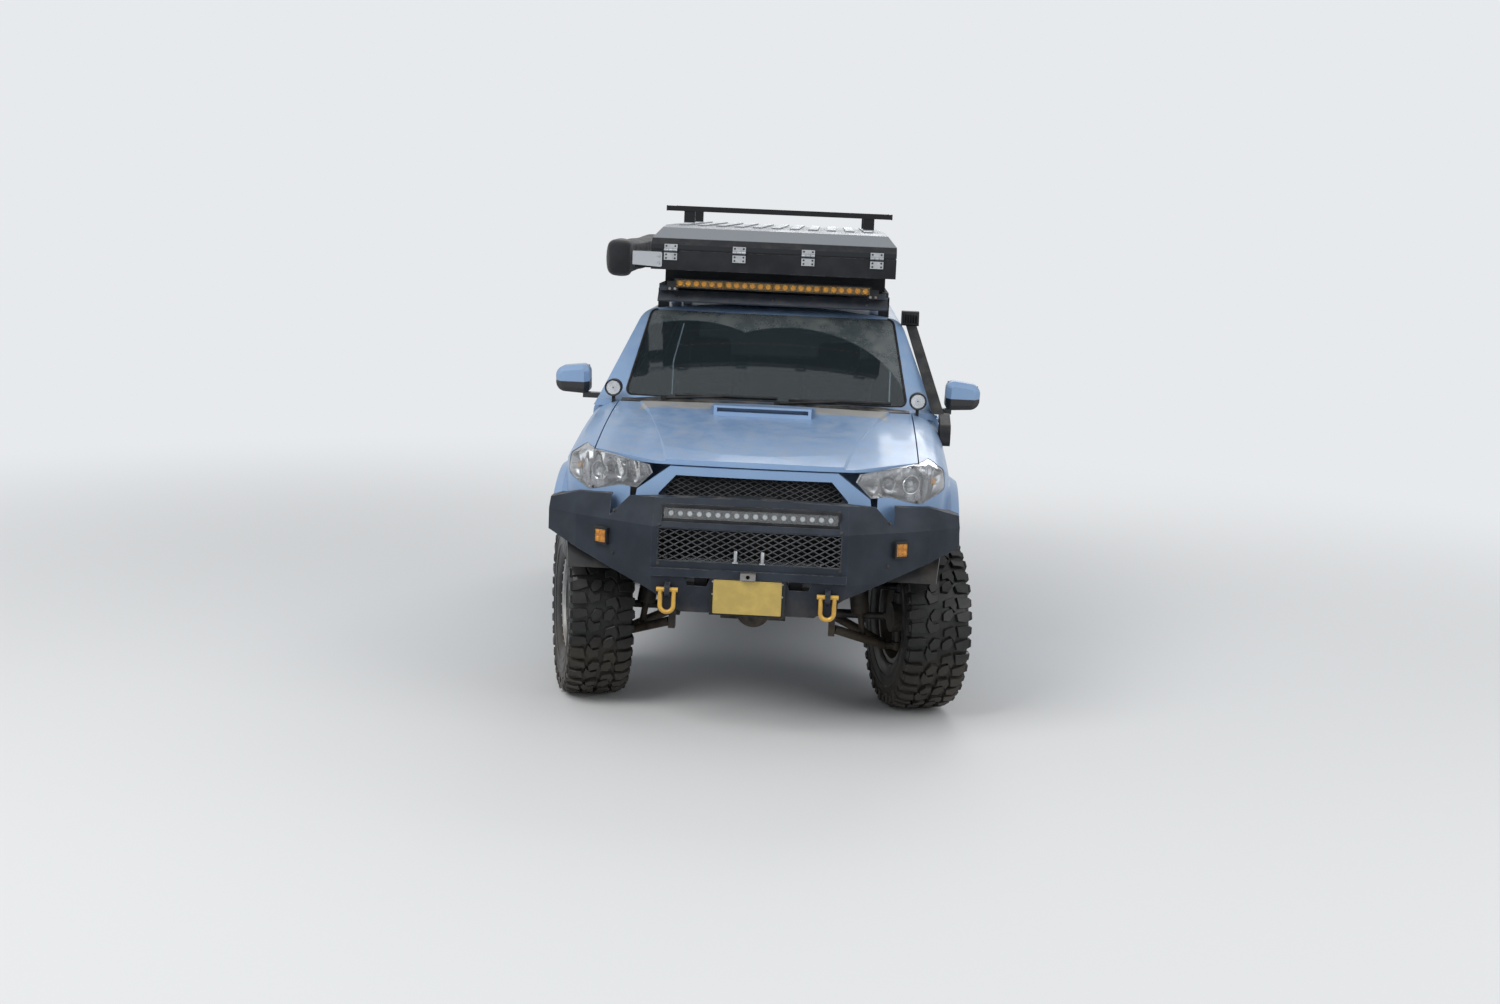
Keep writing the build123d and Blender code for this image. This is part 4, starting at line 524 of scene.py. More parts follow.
def cellMask(tree, place, colour, values):
    # Round bright cells on a deep ground inside the bar's recess; the housing round it stays as it is
    parts = splitPlace(tree, place)
    low, high = values["z"]
    aside = sums(tree, "ABSOLUTE", parts[0])
    inside = times(tree, fade(tree, aside, values["half"] + 0.0005, values["half"]),
                   within(tree, parts[2], low, high, 0.0005),
                   within(tree, parts[1], values["front"], values["front"] + 0.016, 0.0005))
    along = parts[0]
    if values["group"]:
        along = sums(tree, "SUBTRACT", along, -2 * values["group"])
        along = sums(tree, "FLOORED_MODULO", along, values["group"])
    along = sums(tree, "FLOORED_MODULO", sums(tree, "SUBTRACT", along, values["first"]), values["pitch"])
    along = sums(tree, "SUBTRACT", along, values["pitch"] / 2)
    reach = radial(tree, along, sums(tree, "SUBTRACT", parts[2], (low + high) / 2))
    cell = blendColour(tree, fade(tree, reach, values["reach"], values["reach"] * 0.55), values["deep"],
                       values["colour"])
    return blendColour(tree, inside, colour, cell)


def roofBarCells(tree, place, colour):
    return cellMask(tree, place, colour, barCells["roof"])


def bumperBarCells(tree, place, colour):
    return cellMask(tree, place, colour, barCells["bumper"])


wiper = {"pivots": ((-0.46, -1.06, 1.44), (0.12, -1.10, 1.43)), "reach": 0.62}


def makeGlass(name, tint, clear, dusty, wiped=False):
    # Tinted glass with dust that a wiper clears where there is one.
    material, tree, shader, place = startMaterial(name)
    film = fade(tree, speckle(tree, place, 5, 9, 0.7), 0.35, 0.75, dusty * 0.35, dusty)
    if wiped:
        cleared = 0.0
        for pivot in wiper["pivots"]:
            span = addNode(tree, "VectorMath", {1: pivot}, operation="DISTANCE")
            tree.links.new(place, span.inputs[0])
            swept = fade(tree, span.outputs["Value"], wiper["reach"], wiper["reach"] - 0.012)
            cleared = sums(tree, "MAXIMUM", cleared, swept)
        film = times(tree, film, fade(tree, cleared, 0.0, 1.0, 1.0, 0.02))
    colour = blendColour(tree, film, tint, dustColour)
    tree.links.new(colour, shader.inputs["Base Color"])
    tree.links.new(fade(tree, film, 0.0, 0.5, 0.02, 0.6), shader.inputs["Roughness"])
    tree.links.new(sums(tree, "SUBTRACT", clear, film, True), shader.inputs["Transmission Weight"])
    shader.inputs["IOR"].default_value = 1.45
    addRelief(tree, shader, speckle(tree, place, 3, 2), 0.02)
    return material


def makeLens(name, colour, deep, clear, cells=70):
    # Moulded lamp lens: fluted in fine cells, hazed a little.
    material, tree, shader, place = startMaterial(name)
    cell = addNode(tree, "TexVoronoi", {"Scale": cells, "Randomness": 0.0})
    tree.links.new(place, cell.inputs["Vector"])
    tree.links.new(blendColour(tree, fade(tree, cell.outputs["Distance"], 0.1, 0.7), colour, deep),
                   shader.inputs["Base Color"])
    haze = fade(tree, speckle(tree, place, 20, 8, 0.7), 0.35, 0.75, 0.06, 0.34)
    tree.links.new(haze, shader.inputs["Roughness"])
    shader.inputs["Transmission Weight"].default_value = clear
    shader.inputs["Coat Weight"].default_value = 0.6
    addRelief(tree, shader, cell.outputs["Distance"], 0.35)
    return material


def makePane(name, tint):
    # A flat clear cover, only a little hazed
    material, tree, shader, place = startMaterial(name)
    haze = fade(tree, speckle(tree, place, 9, 8, 0.7), 0.45, 0.80)
    tree.links.new(blendColour(tree, times(tree, haze, 0.12), tint, dustColour),
                   shader.inputs["Base Color"])
    tree.links.new(fade(tree, haze, 0.0, 1.0, 0.03, 0.22), shader.inputs["Roughness"])
    shader.inputs["Transmission Weight"].default_value = 0.96
    addRelief(tree, shader, haze, 0.05, 0.001)
    return material


materials = {name: makeFinish(name) for name in finishes if name != "bluePaint"}
materials.update({
    "paint": makeFinish("bluePaint", bodyPanels),
    "trimmedPaint": makeFinish("bluePaint", bodyTrim),
    "mirrorPaint": makeFinish("bluePaint", mirrorShell),
    "rackPaint": makeFinish("blackMetal", rackMetal),
    # the lid's material lays painted shade in its grooves and on its front and sides
    "lidSkinWithShade": makeFinish("satinAluminium", tentSkinWithShade),
    "roofBar": makeFinish("blackPlastic", roofBarCells),
    "bumperBar": makeFinish("blackPlastic", bumperBarCells),
    "clearGlass": makeGlass("screenGlass", (0.17, 0.23, 0.26), 0.93, 0.42, wiped=True),
    "doorGlass": makeGlass("frontDoorGlass", (0.35, 0.40, 0.40), 0.92, 0.25),
    "darkGlass": makeGlass("rearGlass", (0.045, 0.052, 0.055), 0.85, 0.25),
    "lampCover": makeGlass("lampCover", (0.93, 0.94, 0.95), 0.99, 0.05),
    "amberLens": makeLens("amberLens", (0.95, 0.50, 0.03), (0.55, 0.20, 0.01), 0.15),
    "redLens": makeLens("redLens", (0.50, 0.012, 0.012), (0.22, 0.004, 0.006), 0.1, 50),
    "fogAmber": makeLens("fogAmber", (0.90, 0.50, 0.05), (0.60, 0.28, 0.02), 0.0, 30),
    "clearLens": makeLens("clearLens", (0.75, 0.77, 0.78), (0.40, 0.42, 0.44), 0.35, 60),
    "amberPane": makePane("amberPane", (0.98, 0.72, 0.20)),
    "clearPane": makePane("clearPane", (0.93, 0.95, 0.96)),
})


def listed(table):
    # Turns a table of heading to names into one of name to heading.
    return {name: heading for heading, names in table.items() for name in names.split()}


nodeLooks = listed({
    "trimmedPaint": "body_shell liftgate front_door_left front_door_right rear_door_left rear_door_right",
    "paint": "fender_left fender_right hood grille_surround",
    "mirrorPaint": "mirror_left mirror_right",
    "bumperPaint": "front_bumper rear_bumper",
    "meshPaint": "grille_mesh bumper_mesh",
    "lampHousing": "headlamps",
    "redLens": "tail_lamps",
    "roofBar": "roof_light_bar",
    "bumperBar": "bumper_light_bar",
    "clearGlass": "windscreen",
    "doorGlass": "front_door_glass_left front_door_glass_right",
    "darkGlass": "rear_door_glass_left rear_door_glass_right quarter_glass liftgate_glass",
    "goldPaint": "shackles",
    "goldSheet": "number_plate",
    "wornSteel": "winch_hook exhaust",
    "satinAluminium": "skid_plate radiator",
    "castMetal": "engine_block steering_rack front_driveline rear_axle steering_knuckle_left"
                 " steering_knuckle_right",
    "blackMetal": "ditch_lamps winch frame_rails front_suspension rear_suspension tent_base",
    "blackPlastic": "fog_lamps plate_frame fuel_tank snorkel wipers dashboard",
    "rackPaint": "roof_rack",
    "lidSkinWithShade": "tent_lid",
    "bagCloth": "awning_bag",
    "seatCloth": "seats",
    "tyreRubber": "front_wheel_left front_wheel_right rear_wheel_left rear_wheel_right",
})
slotOf = listed({
    "tyre_rubber": "tyreRubber",
    "black_metal": "wheelPaint blackMetal satinAluminium",
    "aluminium_sheet": "wheelRing",
    "bare_steel": "wornSteel castMetal hingeSteel chrome",
    "lamp_glass": "lampCover lampHousing",
    "clear_lens": "clearLens clearPane",
    "amber_lens": "amberLens amberPane fogAmber",
    "red_lens": "redLens",
    "black_plastic": "meshPaint blackPlastic rubberSeal",
    "seat_fabric": "seatCloth",
    "bag_fabric": "bagCloth",
    "gold_plate": "goldSheet",
})
for nodeName, cadNode in nodes.items():
    cadNode.data.materials.clear()
    cadNode.data.materials.append(materials[nodeLooks[nodeName]])
print("materials ready")

# Modelling helpers


def pick(*objects):
    bpy.ops.object.select_all(action="DESELECT")
    for each in objects:
        each.select_set(True)
    bpy.context.view_layer.objects.active = objects[0]


def edit(obj):
    pick(obj)
    bpy.ops.object.mode_set(mode="EDIT")
    bpy.ops.mesh.select_mode(type="VERT")


def leave():
    bpy.ops.object.mode_set(mode="OBJECT")


def pickFaces(obj, test):
    # Leaves obj in edit mode with the faces selected that test(centre, normal) takes.
    edit(obj)
    bpy.ops.mesh.select_mode(type="FACE")
    bpy.ops.mesh.select_all(action="DESELECT")
    leave()
    for face in obj.data.polygons:
        face.select = test(face.center, face.normal)
    bpy.ops.object.mode_set(mode="EDIT")


def turnBy(degrees, axis):
    return Matrix.Rotation(math.radians(degrees), 4, axis)


def about(place, change):
    # A turn or a scale made about a place.
    return Matrix.Translation(place) @ change @ Matrix.Translation(-Vector(place))


def tidyMesh(obj, merge=0.00005):
    edit(obj)
    bpy.ops.mesh.select_all(action="SELECT")
    bpy.ops.mesh.remove_doubles(threshold=merge)
    bpy.ops.mesh.dissolve_degenerate(threshold=merge / 2)
    bpy.ops.mesh.normals_make_consistent(inside=False)
    leave()


def modify(obj, kind, **settings):
    modifier = obj.modifiers.new(kind.lower(), kind)
    for key, value in settings.items():
        setattr(modifier, key, value)
    pick(obj)
    bpy.ops.object.modifier_apply(modifier=modifier.name)


def roundEdges(obj, width, segments=2, angle=35):
    modify(obj, "BEVEL", width=width, segments=segments, limit_method="ANGLE",
           angle_limit=math.radians(angle))


def ringOf(name, points, filled):
    # A closed outline of points, started from a circle.
    bpy.ops.object.select_all(action="DESELECT")
    bpy.ops.mesh.primitive_circle_add(vertices=len(points), fill_type="NGON" if filled else "NOTHING")
    obj = bpy.context.object
    obj.name = name
    for vertex, point in zip(obj.data.vertices, points):
        vertex.co = point
    return obj


def plate(name, points, reach):
    # The outline pushed along reach into a solid.
    obj = ringOf(name, points, True)
    edit(obj)
    bpy.ops.mesh.select_all(action="SELECT")
    bpy.ops.mesh.extrude_region_move(TRANSFORM_OT_translate={"value": reach})
    leave()
    tidyMesh(obj)
    return obj


def turned(name, profile, steps=64, axis=(1, 0, 0)):
    # A closed (along, radius) profile spun about the axis.
    along = Vector(axis)
    out = Vector((0, 0, 1)) if abs(along.z) < 0.5 else Vector((1, 0, 0))
    obj = ringOf(name, [along * a + out * r for a, r in profile], False)
    edit(obj)
    bpy.ops.mesh.select_all(action="SELECT")
    bpy.ops.mesh.spin(steps=steps, angle=math.tau, center=(0, 0, 0), axis=axis)
    leave()
    tidyMesh(obj)
    return obj


def brick(name, low, high, edge=0.002, segments=2):
    bpy.ops.object.select_all(action="DESELECT")
    middle = [(a + b) / 2 for a, b in zip(low, high)]
    bpy.ops.mesh.primitive_cube_add(size=1, location=middle)
    obj = bpy.context.object
    obj.name = name
    obj.scale = [abs(b - a) for a, b in zip(low, high)]
    bpy.ops.object.transform_apply(location=True, rotation=True, scale=True)
    roundEdges(obj, edge, segments)
    return obj


def bricks(corners, edge=0.001, segments=1):
    # One block for each pair of opposite corners.
    return [brick("block", low, high, edge, segments) for low, high in corners]


def moved(obj, move):
    obj.data.transform(move)
    return obj


def copyOf(obj, move, name=None):
    made = obj.copy()
    made.data = obj.data.copy()
    bpy.context.scene.collection.objects.link(made)
    if name:
        made.name = name
    return moved(made, move)


def ringCopies(obj, count, start=0.0, rest=Matrix()):
    # Copies set evenly round the X axis, in place of the original.
    made = []
    for index in range(count):
        made.append(copyOf(obj, Matrix.Rotation((index + start) * math.tau / count, 4, "X") @ rest))
    drop(obj)
    return made


def joined(objects, name):
    pick(*objects)
    bpy.ops.object.join()
    bpy.context.object.name = name
    return bpy.context.object


def drop(*objects):
    for obj in objects:
        bpy.data.objects.remove(obj)


def finishPiece(obj, look, body="chassis", smooth=35, slotName=None):
    obj.data.materials.clear()
    obj.data.materials.append(materials[look])
    pick(obj)
    bpy.ops.object.transform_apply(location=True, rotation=True, scale=True)
    if smooth:
        bpy.ops.object.shade_smooth_by_angle(angle=math.radians(smooth))
    slotName = slotName or slotOf[look]
    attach(obj, body)
    return obj


def meshCopy(nodeName, name):
    # A merged copy of a CAD node's mesh, free to be cut.
    made = nodes[nodeName].copy()
    made.data = nodes[nodeName].data.copy()
    made.parent = None
    made.hide_viewport = False
    made.hide_render = False
    for key in list(made.keys()):
        del made[key]
    bpy.context.scene.collection.objects.link(made)
    made.name = name
    tidyMesh(made, 0.00002)
    return made


def keepFaces(obj, keep):
    # Deletes the faces that keep(centre, normal) turns down.
    pickFaces(obj, lambda centre, normal: not keep(centre, normal))
    bpy.ops.mesh.delete(type="FACE")
    leave()


def between(low, high, share):
    return low + (high - low) * share


# Wheels: a mud tyre of separate lugs on a carcass, and a dark spoked rim with a bare ring

tyre = {
    "lugDepth": 0.017, "lugRoot": 0.006, "lugHigh": 0.02, "capDepth": 0.012,
    "taper": (0.078, 0.975),  # from this far out, a lug's top is this share as wide
    "pitches": 20,
    "crown": [(0.0, 0.4445), (0.100, 0.4435), (0.125, 0.4405), (0.142, 0.432), (0.152, 0.417)],
    "carcass": [  # along the axle, radius: one half, from the crown to the bead
        (0.000, 0.4275), (0.060, 0.4275), (0.116, 0.424), (0.138, 0.412), (0.149, 0.388), (0.1515, 0.352),
        (0.154, 0.348), (0.154, 0.340), (0.1505, 0.336), (0.148, 0.300), (0.150, 0.296), (0.150, 0.288),
        (0.146, 0.284), (0.140, 0.258), (0.134, 0.240), (0.126, 0.231), (0.112, 0.229), (0.100, 0.231),
        (0.080, 0.262), (0.000, 0.290),
    ],
    "lugs": [  # name and its corners: across the tread, along it
        ("inner", [(0.005, -0.060), (0.036, -0.064), (0.058, -0.034), (0.050, -0.004), (0.024, -0.012),
                   (0.005, -0.030)]),
        ("middle", [(0.012, 0.000), (0.040, 0.008), (0.066, -0.022), (0.074, 0.016), (0.058, 0.052),
                    (0.014, 0.036)]),
        ("shoulderLong", [(0.078, -0.064), (0.112, -0.066), (0.151, -0.056), (0.151, -0.012),
                          (0.116, -0.016), (0.070, -0.030)]),
        ("shoulderShort", [(0.086, -0.004), (0.116, 0.000), (0.146, 0.004), (0.146, 0.048), (0.118, 0.052),
                           (0.074, 0.050)]),
    ],
    "biters": [  # opposite corners: across the tread, along it, radius
        ((0.142, -0.054, 0.372), (0.1545, -0.016, 0.424)),
        ((0.142, 0.008, 0.388), (0.1545, 0.044, 0.420)),
    ],
}


def crownRadius(across):
    # Radius of the tread's outside at a distance from its middle.
    steps = tyre["crown"]
    for (x0, r0), (x1, r1) in zip(steps, steps[1:]):
        if across <= x1:
            return between(r0, r1, (across - x0) / (x1 - x0))
    return steps[-1][1]


def onePitch():
    lugs = []
    for name, corners in tyre["lugs"]:
        base = [(x, t, crownRadius(x) - tyre["lugDepth"] - tyre["lugRoot"]) for x, t in corners]
        lug = plate(name, base, (0, 0, tyre["lugHigh"]))
        start, share = tyre["taper"]
        for vertex in lug.data.vertices:
            if vertex.co.z > crownRadius(vertex.co.x) - tyre["capDepth"]:
                vertex.co.z = crownRadius(vertex.co.x)
                if vertex.co.x > start:
                    vertex.co.x = between(start, vertex.co.x, share)
        edit(lug)
        bpy.ops.mesh.select_all(action="SELECT")
        bpy.ops.mesh.normals_make_consistent(inside=False)
        leave()
        roundEdges(lug, 0.0016, 1, 30)
        lugs.append(lug)
    return joined(lugs + bricks(tyre["biters"], 0.003), "pitch")


def makeTyre():
    half = tyre["carcass"]
    profile = [(-along, radius) for along, radius in reversed(half[1:])] + half
    carcass = turned("carcass", profile[:-1], 100)
    pitch = onePitch()
    other = copyOf(pitch, Matrix.Rotation(math.pi, 4, "Z"))
    lugs = ringCopies(pitch, tyre["pitches"]) + ringCopies(other, tyre["pitches"], 0.5)
    return joined([carcass] + lugs, "mudTyre")


rim = {
    "spokes": 6,
    "nuts": 6,
    "nutCircle": 0.0698, "nutRadius": 0.0115, "nutLong": 0.022, "nutAt": 0.098,
    "barrel": [(-0.122, 0.228), (-0.122, 0.206), (-0.110, 0.200), (0.050, 0.198), (0.082, 0.206),
               (0.108, 0.208), (0.108, 0.222), (0.112, 0.226), (0.112, 0.2285), (0.098, 0.2285),
               (0.060, 0.214), (-0.100, 0.214), (-0.112, 0.2285)],
    "ring": [(0.106, 0.2045), (0.119, 0.2065), (0.1235, 0.212), (0.1235, 0.222), (0.119, 0.227),
             (0.109, 0.227)],
    "hub": [(-0.062, 0.0), (-0.062, 0.058), (0.060, 0.058), (0.072, 0.088), (0.084, 0.090), (0.092, 0.080),
            (0.094, 0.050), (0.106, 0.044), (0.110, 0.036), (0.110, 0.0)],
    "disc": [(-0.052, 0.058), (-0.052, 0.168), (-0.044, 0.170), (-0.036, 0.170), (-0.028, 0.168),
             (-0.028, 0.058)],
    "spoke": [(0.060, 0.070), (0.088, 0.070), (0.098, 0.120), (0.100, 0.170), (0.108, 0.206), (0.062, 0.208),
              (0.064, 0.160), (0.052, 0.110)],
    "spokeWidth": 0.046, "spokeFlare": (0.8, 1.35), "spokeFoot": 0.07, "spokeLong": 0.138,
    "pocketFacing": 0.85, "pocketFrom": 0.1, "pocketEdge": 0.011, "pocketDeep": -0.006,
    "bolt": [(0.120, 0.0), (0.120, 0.006), (0.126, 0.006), (0.1275, 0.004), (0.1275, 0.0)],
    "bolts": 24,
    "boltCircle": 0.217,
}


def makeRim():
    barrel = turned("barrel", rim["barrel"], 96)
    roundEdges(barrel, 0.0015, 1, 40)
    hub = turned("hub", rim["hub"], 48)
    roundEdges(hub, 0.002, 2, 30)
    width = rim["spokeWidth"]
    spoke = plate("spoke", [(a, -width / 2, r) for a, r in rim["spoke"]], (0, width, 0))
    for vertex in spoke.data.vertices:
        vertex.co.y *= between(*rim["spokeFlare"], (vertex.co.z - rim["spokeFoot"]) / rim["spokeLong"])
    pickFaces(spoke, lambda centre, normal: normal.x > rim["pocketFacing"] and centre.z > rim["pocketFrom"])
    bpy.ops.mesh.inset(thickness=rim["pocketEdge"], depth=rim["pocketDeep"])
    leave()
    roundEdges(spoke, 0.003, 2, 30)
    spokes = ringCopies(spoke, rim["spokes"])
    bpy.ops.object.select_all(action="DESELECT")
    bpy.ops.mesh.primitive_cylinder_add(vertices=6, radius=rim["nutRadius"], depth=rim["nutLong"],
                                        location=(rim["nutAt"], 0, rim["nutCircle"]),
                                        rotation=(0, math.pi / 2, 0))
    nut = bpy.context.object
    bpy.ops.object.transform_apply(location=True, rotation=True, scale=True)
    roundEdges(nut, 0.002, 1, 30)
    nuts = ringCopies(nut, rim["nuts"], 0.5)
    rings = [turned("ring", rim["ring"], 96)]
    bolt = turned("ringBolt", rim["bolt"], 8)
    rings += ringCopies(bolt, rim["bolts"], 0.0, Matrix.Translation((0, 0, rim["boltCircle"])))
    disc = turned("disc", rim["disc"], 64)
    roundEdges(disc, 0.001, 1, 40)
    return joined([barrel, hub] + spokes + nuts, "rimSpokes"), joined(rings, "rimRing"), disc


def axleSeat(joint, side):
    # Moves a wheel piece made at the origin, outer face to +X, onto its axle.
    across = Vector(joint["axis"]) * side
    turn = Matrix.Rotation(math.atan2(across.y, across.x), 4, "Z")
    return Matrix.Translation(joint["pos_m"]) @ turn


tyreModel = makeTyre()
rimModel, ringModel, discModel = makeRim()
for corner in ("front_left", "front_right", "rear_left", "rear_right"):
    end, sideName = corner.split("_")
    body = f"wheel_{corner}"
    move = axleSeat(jointAt[f"{corner}_spin"], 1 if sideName == "left" else -1)
    label = f"{end}{sideName.title()}"
    rubber = finishPiece(copyOf(tyreModel, move, f"{label}Tyre"), "tyreRubber", body, smooth=30)
    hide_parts(f"{end}_wheel_{sideName}")
    finishPiece(copyOf(rimModel, move, f"{label}Rim"), "wheelPaint", body)
    finishPiece(copyOf(ringModel, move, f"{label}RimRing"), "wheelRing", body)
    finishPiece(copyOf(discModel, move, f"{label}BrakeDisc"), "wornSteel", body)
drop(tyreModel, rimModel, ringModel, discModel)
print("wheels done")

# Headlamps: the CAD solid's own front as a hazed lens over a housing with a projector, and an amber marker

headlamp = {
    "wall": 0.0022,
    "bowls": [  # x, z, radius, depth, turn outwards in degrees
        (0.715, 1.183, 0.040, 0.030, 27),
        (0.612, 1.187, 0.028, 0.022, 20),
    ],
    "bowlsIn": 0.016,
    "marker": (0.838, 1.188, 0.034, 0.016, 52),
    "markerIn": (-0.010, 0.014),
}


def onSurface(obj, origin, direction):
    # Where a ray meets an object, and the surface's normal there
    hit, place, normal, face = obj.ray_cast(origin, direction)
    return (place, normal) if hit else (None, None)


bowlShares = [  # depth share, radius share, from the front edge round the back and out again
    (0.0, 1.0), (-0.35, 0.93), (-0.75, 0.68), (-1.0, 0.30), (-1.0, 0.0),
]
domeShares = [(-1.0, 0.0), (-1.0, 0.52), (-0.80, 0.54), (-0.45, 0.46), (-0.18, 0.28), (-0.08, 0.0)]


def shaped(shares, radius, depth):
    return [(along * depth, out * radius) for along, out in shares]


def bowlProfile(radius, depth):
    back = [(-depth - 0.002, 0.0), (-depth - 0.002, 0.36 * radius)]
    return (shaped(bowlShares, radius, depth) + back + shaped([(-0.75, 0.76), (-0.35, 1.0)], radius, depth)
            + [(-0.001, 1.10 * radius), (0.001, 1.06 * radius)])


def splitLamp(nodeName, label, side, threshold, facing):
    # The lamp's outer skin and its housing, each with a wall of its own.
    halves = []
    for half, front in (("Lens", True), ("Housing", False)):
        shell = meshCopy(nodeName, label.format(half))
        keepFaces(shell, lambda centre, normal: (centre.x * side > 0
                                                 and (normal.y * facing > threshold) == front))
        modify(shell, "SOLIDIFY", thickness=headlamp["wall"], offset=-1)
        halves.append(shell)
    return halves


sides = (("Left", 1), ("Right", -1))
for sideName, side in sides:
    lens, housing = splitLamp("headlamps", f"headlamp{{}}{sideName}", side, 0.12, -1)
    bowls, domes = [], []
    for x, z, radius, depth, turn in headlamp["bowls"]:
        front, normal = onSurface(lens, (side * x, -3, z), (0, 1, 0))
        seat = Matrix.Translation(front + Vector((0, headlamp["bowlsIn"], 0))) @ turnBy(side * turn, "Z")
        bowls.append(moved(turned("bowl", bowlProfile(radius, depth), 48, (0, -1, 0)), seat))
        domes.append(moved(turned("dome", shaped(domeShares, radius, depth), 40, (0, -1, 0)), seat))
    x, z, radius, depth, turn = headlamp["marker"]
    front, normal = onSurface(lens, (side * x, -3, z), (0, 1, 0))
    amber = turned(f"markerLamp{sideName}", shaped(domeShares, radius, depth), 32, (0, -1, 0))
    aside, inward = headlamp["markerIn"]
    moved(amber, Matrix.Translation(front + Vector((side * aside, inward, 0))) @ turnBy(side * turn, "Z"))
    finishPiece(lens, "lampCover")
    finishPiece(housing, "lampHousing")
    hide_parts("headlamps")
    finishPiece(joined(bowls, f"headlampBowls{sideName}"), "chrome")
    finishPiece(joined(domes, f"headlampDomes{sideName}"), "clearLens")
    finishPiece(amber, "amberLens")
print("headlamps done")

# Expanded mesh in the grille and in the bumper's window

meshSheets = {
    "grille": {"node": "grille_mesh", "cell": 0.033, "squash": 0.50, "wire": 0.0050, "low": 1.075,
               "high": 1.196, "half": (0.440, 0.352), "y": 0.004, "follows": True},
    "bumperWindow": {"node": "bumper_mesh", "cell": 0.0365, "squash": 0.54, "wire": 0.0058, "low": 0.8386,
                     "high": 0.9834, "half": (0.4074, 0.4074), "y": -2.394, "follows": False},
}


nose = {"y": -2.2215, "z": 1.05, "lean": 0.14, "bow": 0.1, "bowHalf": 0.354, "run": 0.0708}


def noseFace(x, z):
    # y of the grille's face: bowed across and leaning back.
    reach = min(abs(x), nose["bowHalf"])
    bowed = nose["y"] + reach ** 2 * nose["bow"] + (abs(x) - reach) * nose["run"]
    return bowed + nose["lean"] * (z - nose["z"])


def expandedSheet(name, values):
    count = int(1.0 / values["cell"])
    bpy.ops.object.select_all(action="DESELECT")
    bpy.ops.mesh.primitive_grid_add(x_subdivisions=count, y_subdivisions=count, size=count * values["cell"])
    sheet = bpy.context.object
    sheet.name = name
    (lowHalf, highHalf), low, high = values["half"], values["low"], values["high"]
    squashed = Matrix.Diagonal((1, 1, values["squash"], 1)) @ turnBy(90, "X") @ turnBy(45, "Z")
    moved(sheet, Matrix.Translation((0, 0, (low + high) / 2)) @ squashed)
    slope = Vector((high - low, 0, lowHalf - highHalf)).normalized()
    edit(sheet)
    for point, normal in (((0, 0, low), (0, 0, -1)), ((0, 0, high), (0, 0, 1)), ((lowHalf, 0, low), slope),
                          ((-lowHalf, 0, low), (-slope.x, 0, slope.z))):
        bpy.ops.mesh.select_all(action="SELECT")
        bpy.ops.mesh.bisect(plane_co=point, plane_no=normal, clear_outer=True)
    leave()
    modify(sheet, "WIREFRAME", thickness=values["wire"], use_even_offset=True, use_boundary=True)
    return sheet


for key, values in meshSheets.items():
    sheet = expandedSheet(f"{key}Mesh", values)
    for vertex in sheet.data.vertices:
        vertex.co.y += values["y"] + (noseFace(vertex.co.x, vertex.co.z) if values["follows"] else 0)
    finishPiece(sheet, "meshPaint", smooth=0)
    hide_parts(values["node"])
fins = [((-0.395, -2.165, 0.82 + 0.034 * index), (0.395, -2.150, 0.824 + 0.034 * index))
        for index in range(11)]
backing = [brick("back", (-0.40, -2.150, 0.81), (0.40, -2.142, 1.19), 0.003)] + bricks(fins)
finishPiece(joined(backing, "coolerFins"), "blackPlastic")
badge = plate("grilleBar", [(-0.118, -2.232, 1.118), (0.118, -2.232, 1.118), (0.070, -2.238, 1.078),
                            (-0.070, -2.238, 1.078)], (0, 0.010, 0))
roundEdges(badge, 0.003)
finishPiece(badge, "blackPlastic")
print("meshes done")

# Rubber seals round the glass

seals = [  # glass node, outward direction, body, thickness
    ("windscreen", (0, -0.8, 0.6), "chassis", 0.0065),
    ("liftgate_glass", (0, 1, 0.4), "tailgate", 0.006),
    ("front_door_glass_left", (1, 0, 0), "door_front_left", 0.006),
    ("front_door_glass_right", (-1, 0, 0), "door_front_right", 0.006),
    ("rear_door_glass_left", (1, 0, 0), "door_rear_left", 0.006),
    ("rear_door_glass_right", (-1, 0, 0), "door_rear_right", 0.006),
    ("quarter_glass", (1, 0, 0), "chassis", 0.006),
    ("quarter_glass", (-1, 0, 0), "chassis", 0.006),
]


def sealRound(nodeName, outward, thickness, name):
    # A tube along the rim of the pane's outer face.
    skin = meshCopy(nodeName, name)
    towards = Vector(outward).normalized()
    keepFaces(skin, lambda centre, normal: normal.dot(towards) > 0.6)
    users = {}
    for face in skin.data.polygons:
        for key in face.edge_keys:
            users[key] = users.get(key, 0) + 1
    edit(skin)
    bpy.ops.mesh.select_mode(type="EDGE")
    bpy.ops.mesh.select_all(action="DESELECT")
    leave()
    for line in skin.data.edges:
        line.select = users.get(tuple(sorted(line.vertices)), 0) != 1
    bpy.ops.object.mode_set(mode="EDIT")
    bpy.ops.mesh.delete(type="EDGE")
    bpy.ops.mesh.select_all(action="SELECT")
    bpy.ops.mesh.delete(type="ONLY_FACE")
    leave()
    bpy.ops.object.convert(target="CURVE")
    skin = bpy.context.object
    skin.data.bevel_depth = thickness
    skin.data.bevel_resolution = 2
    bpy.ops.object.convert(target="MESH")
    skin = bpy.context.object
    skin.name = name
    return skin


for nodeName, outward, body, thickness in seals:
    sideName = {0: "", 1: "Left", -1: "Right"}[outward[0]]
    label = nodeName.removesuffix("_left").removesuffix("_right")
    finishPiece(sealRound(nodeName, outward, thickness, f"{label}Seal{sideName}"), "rubberSeal", body)
print("seals done")
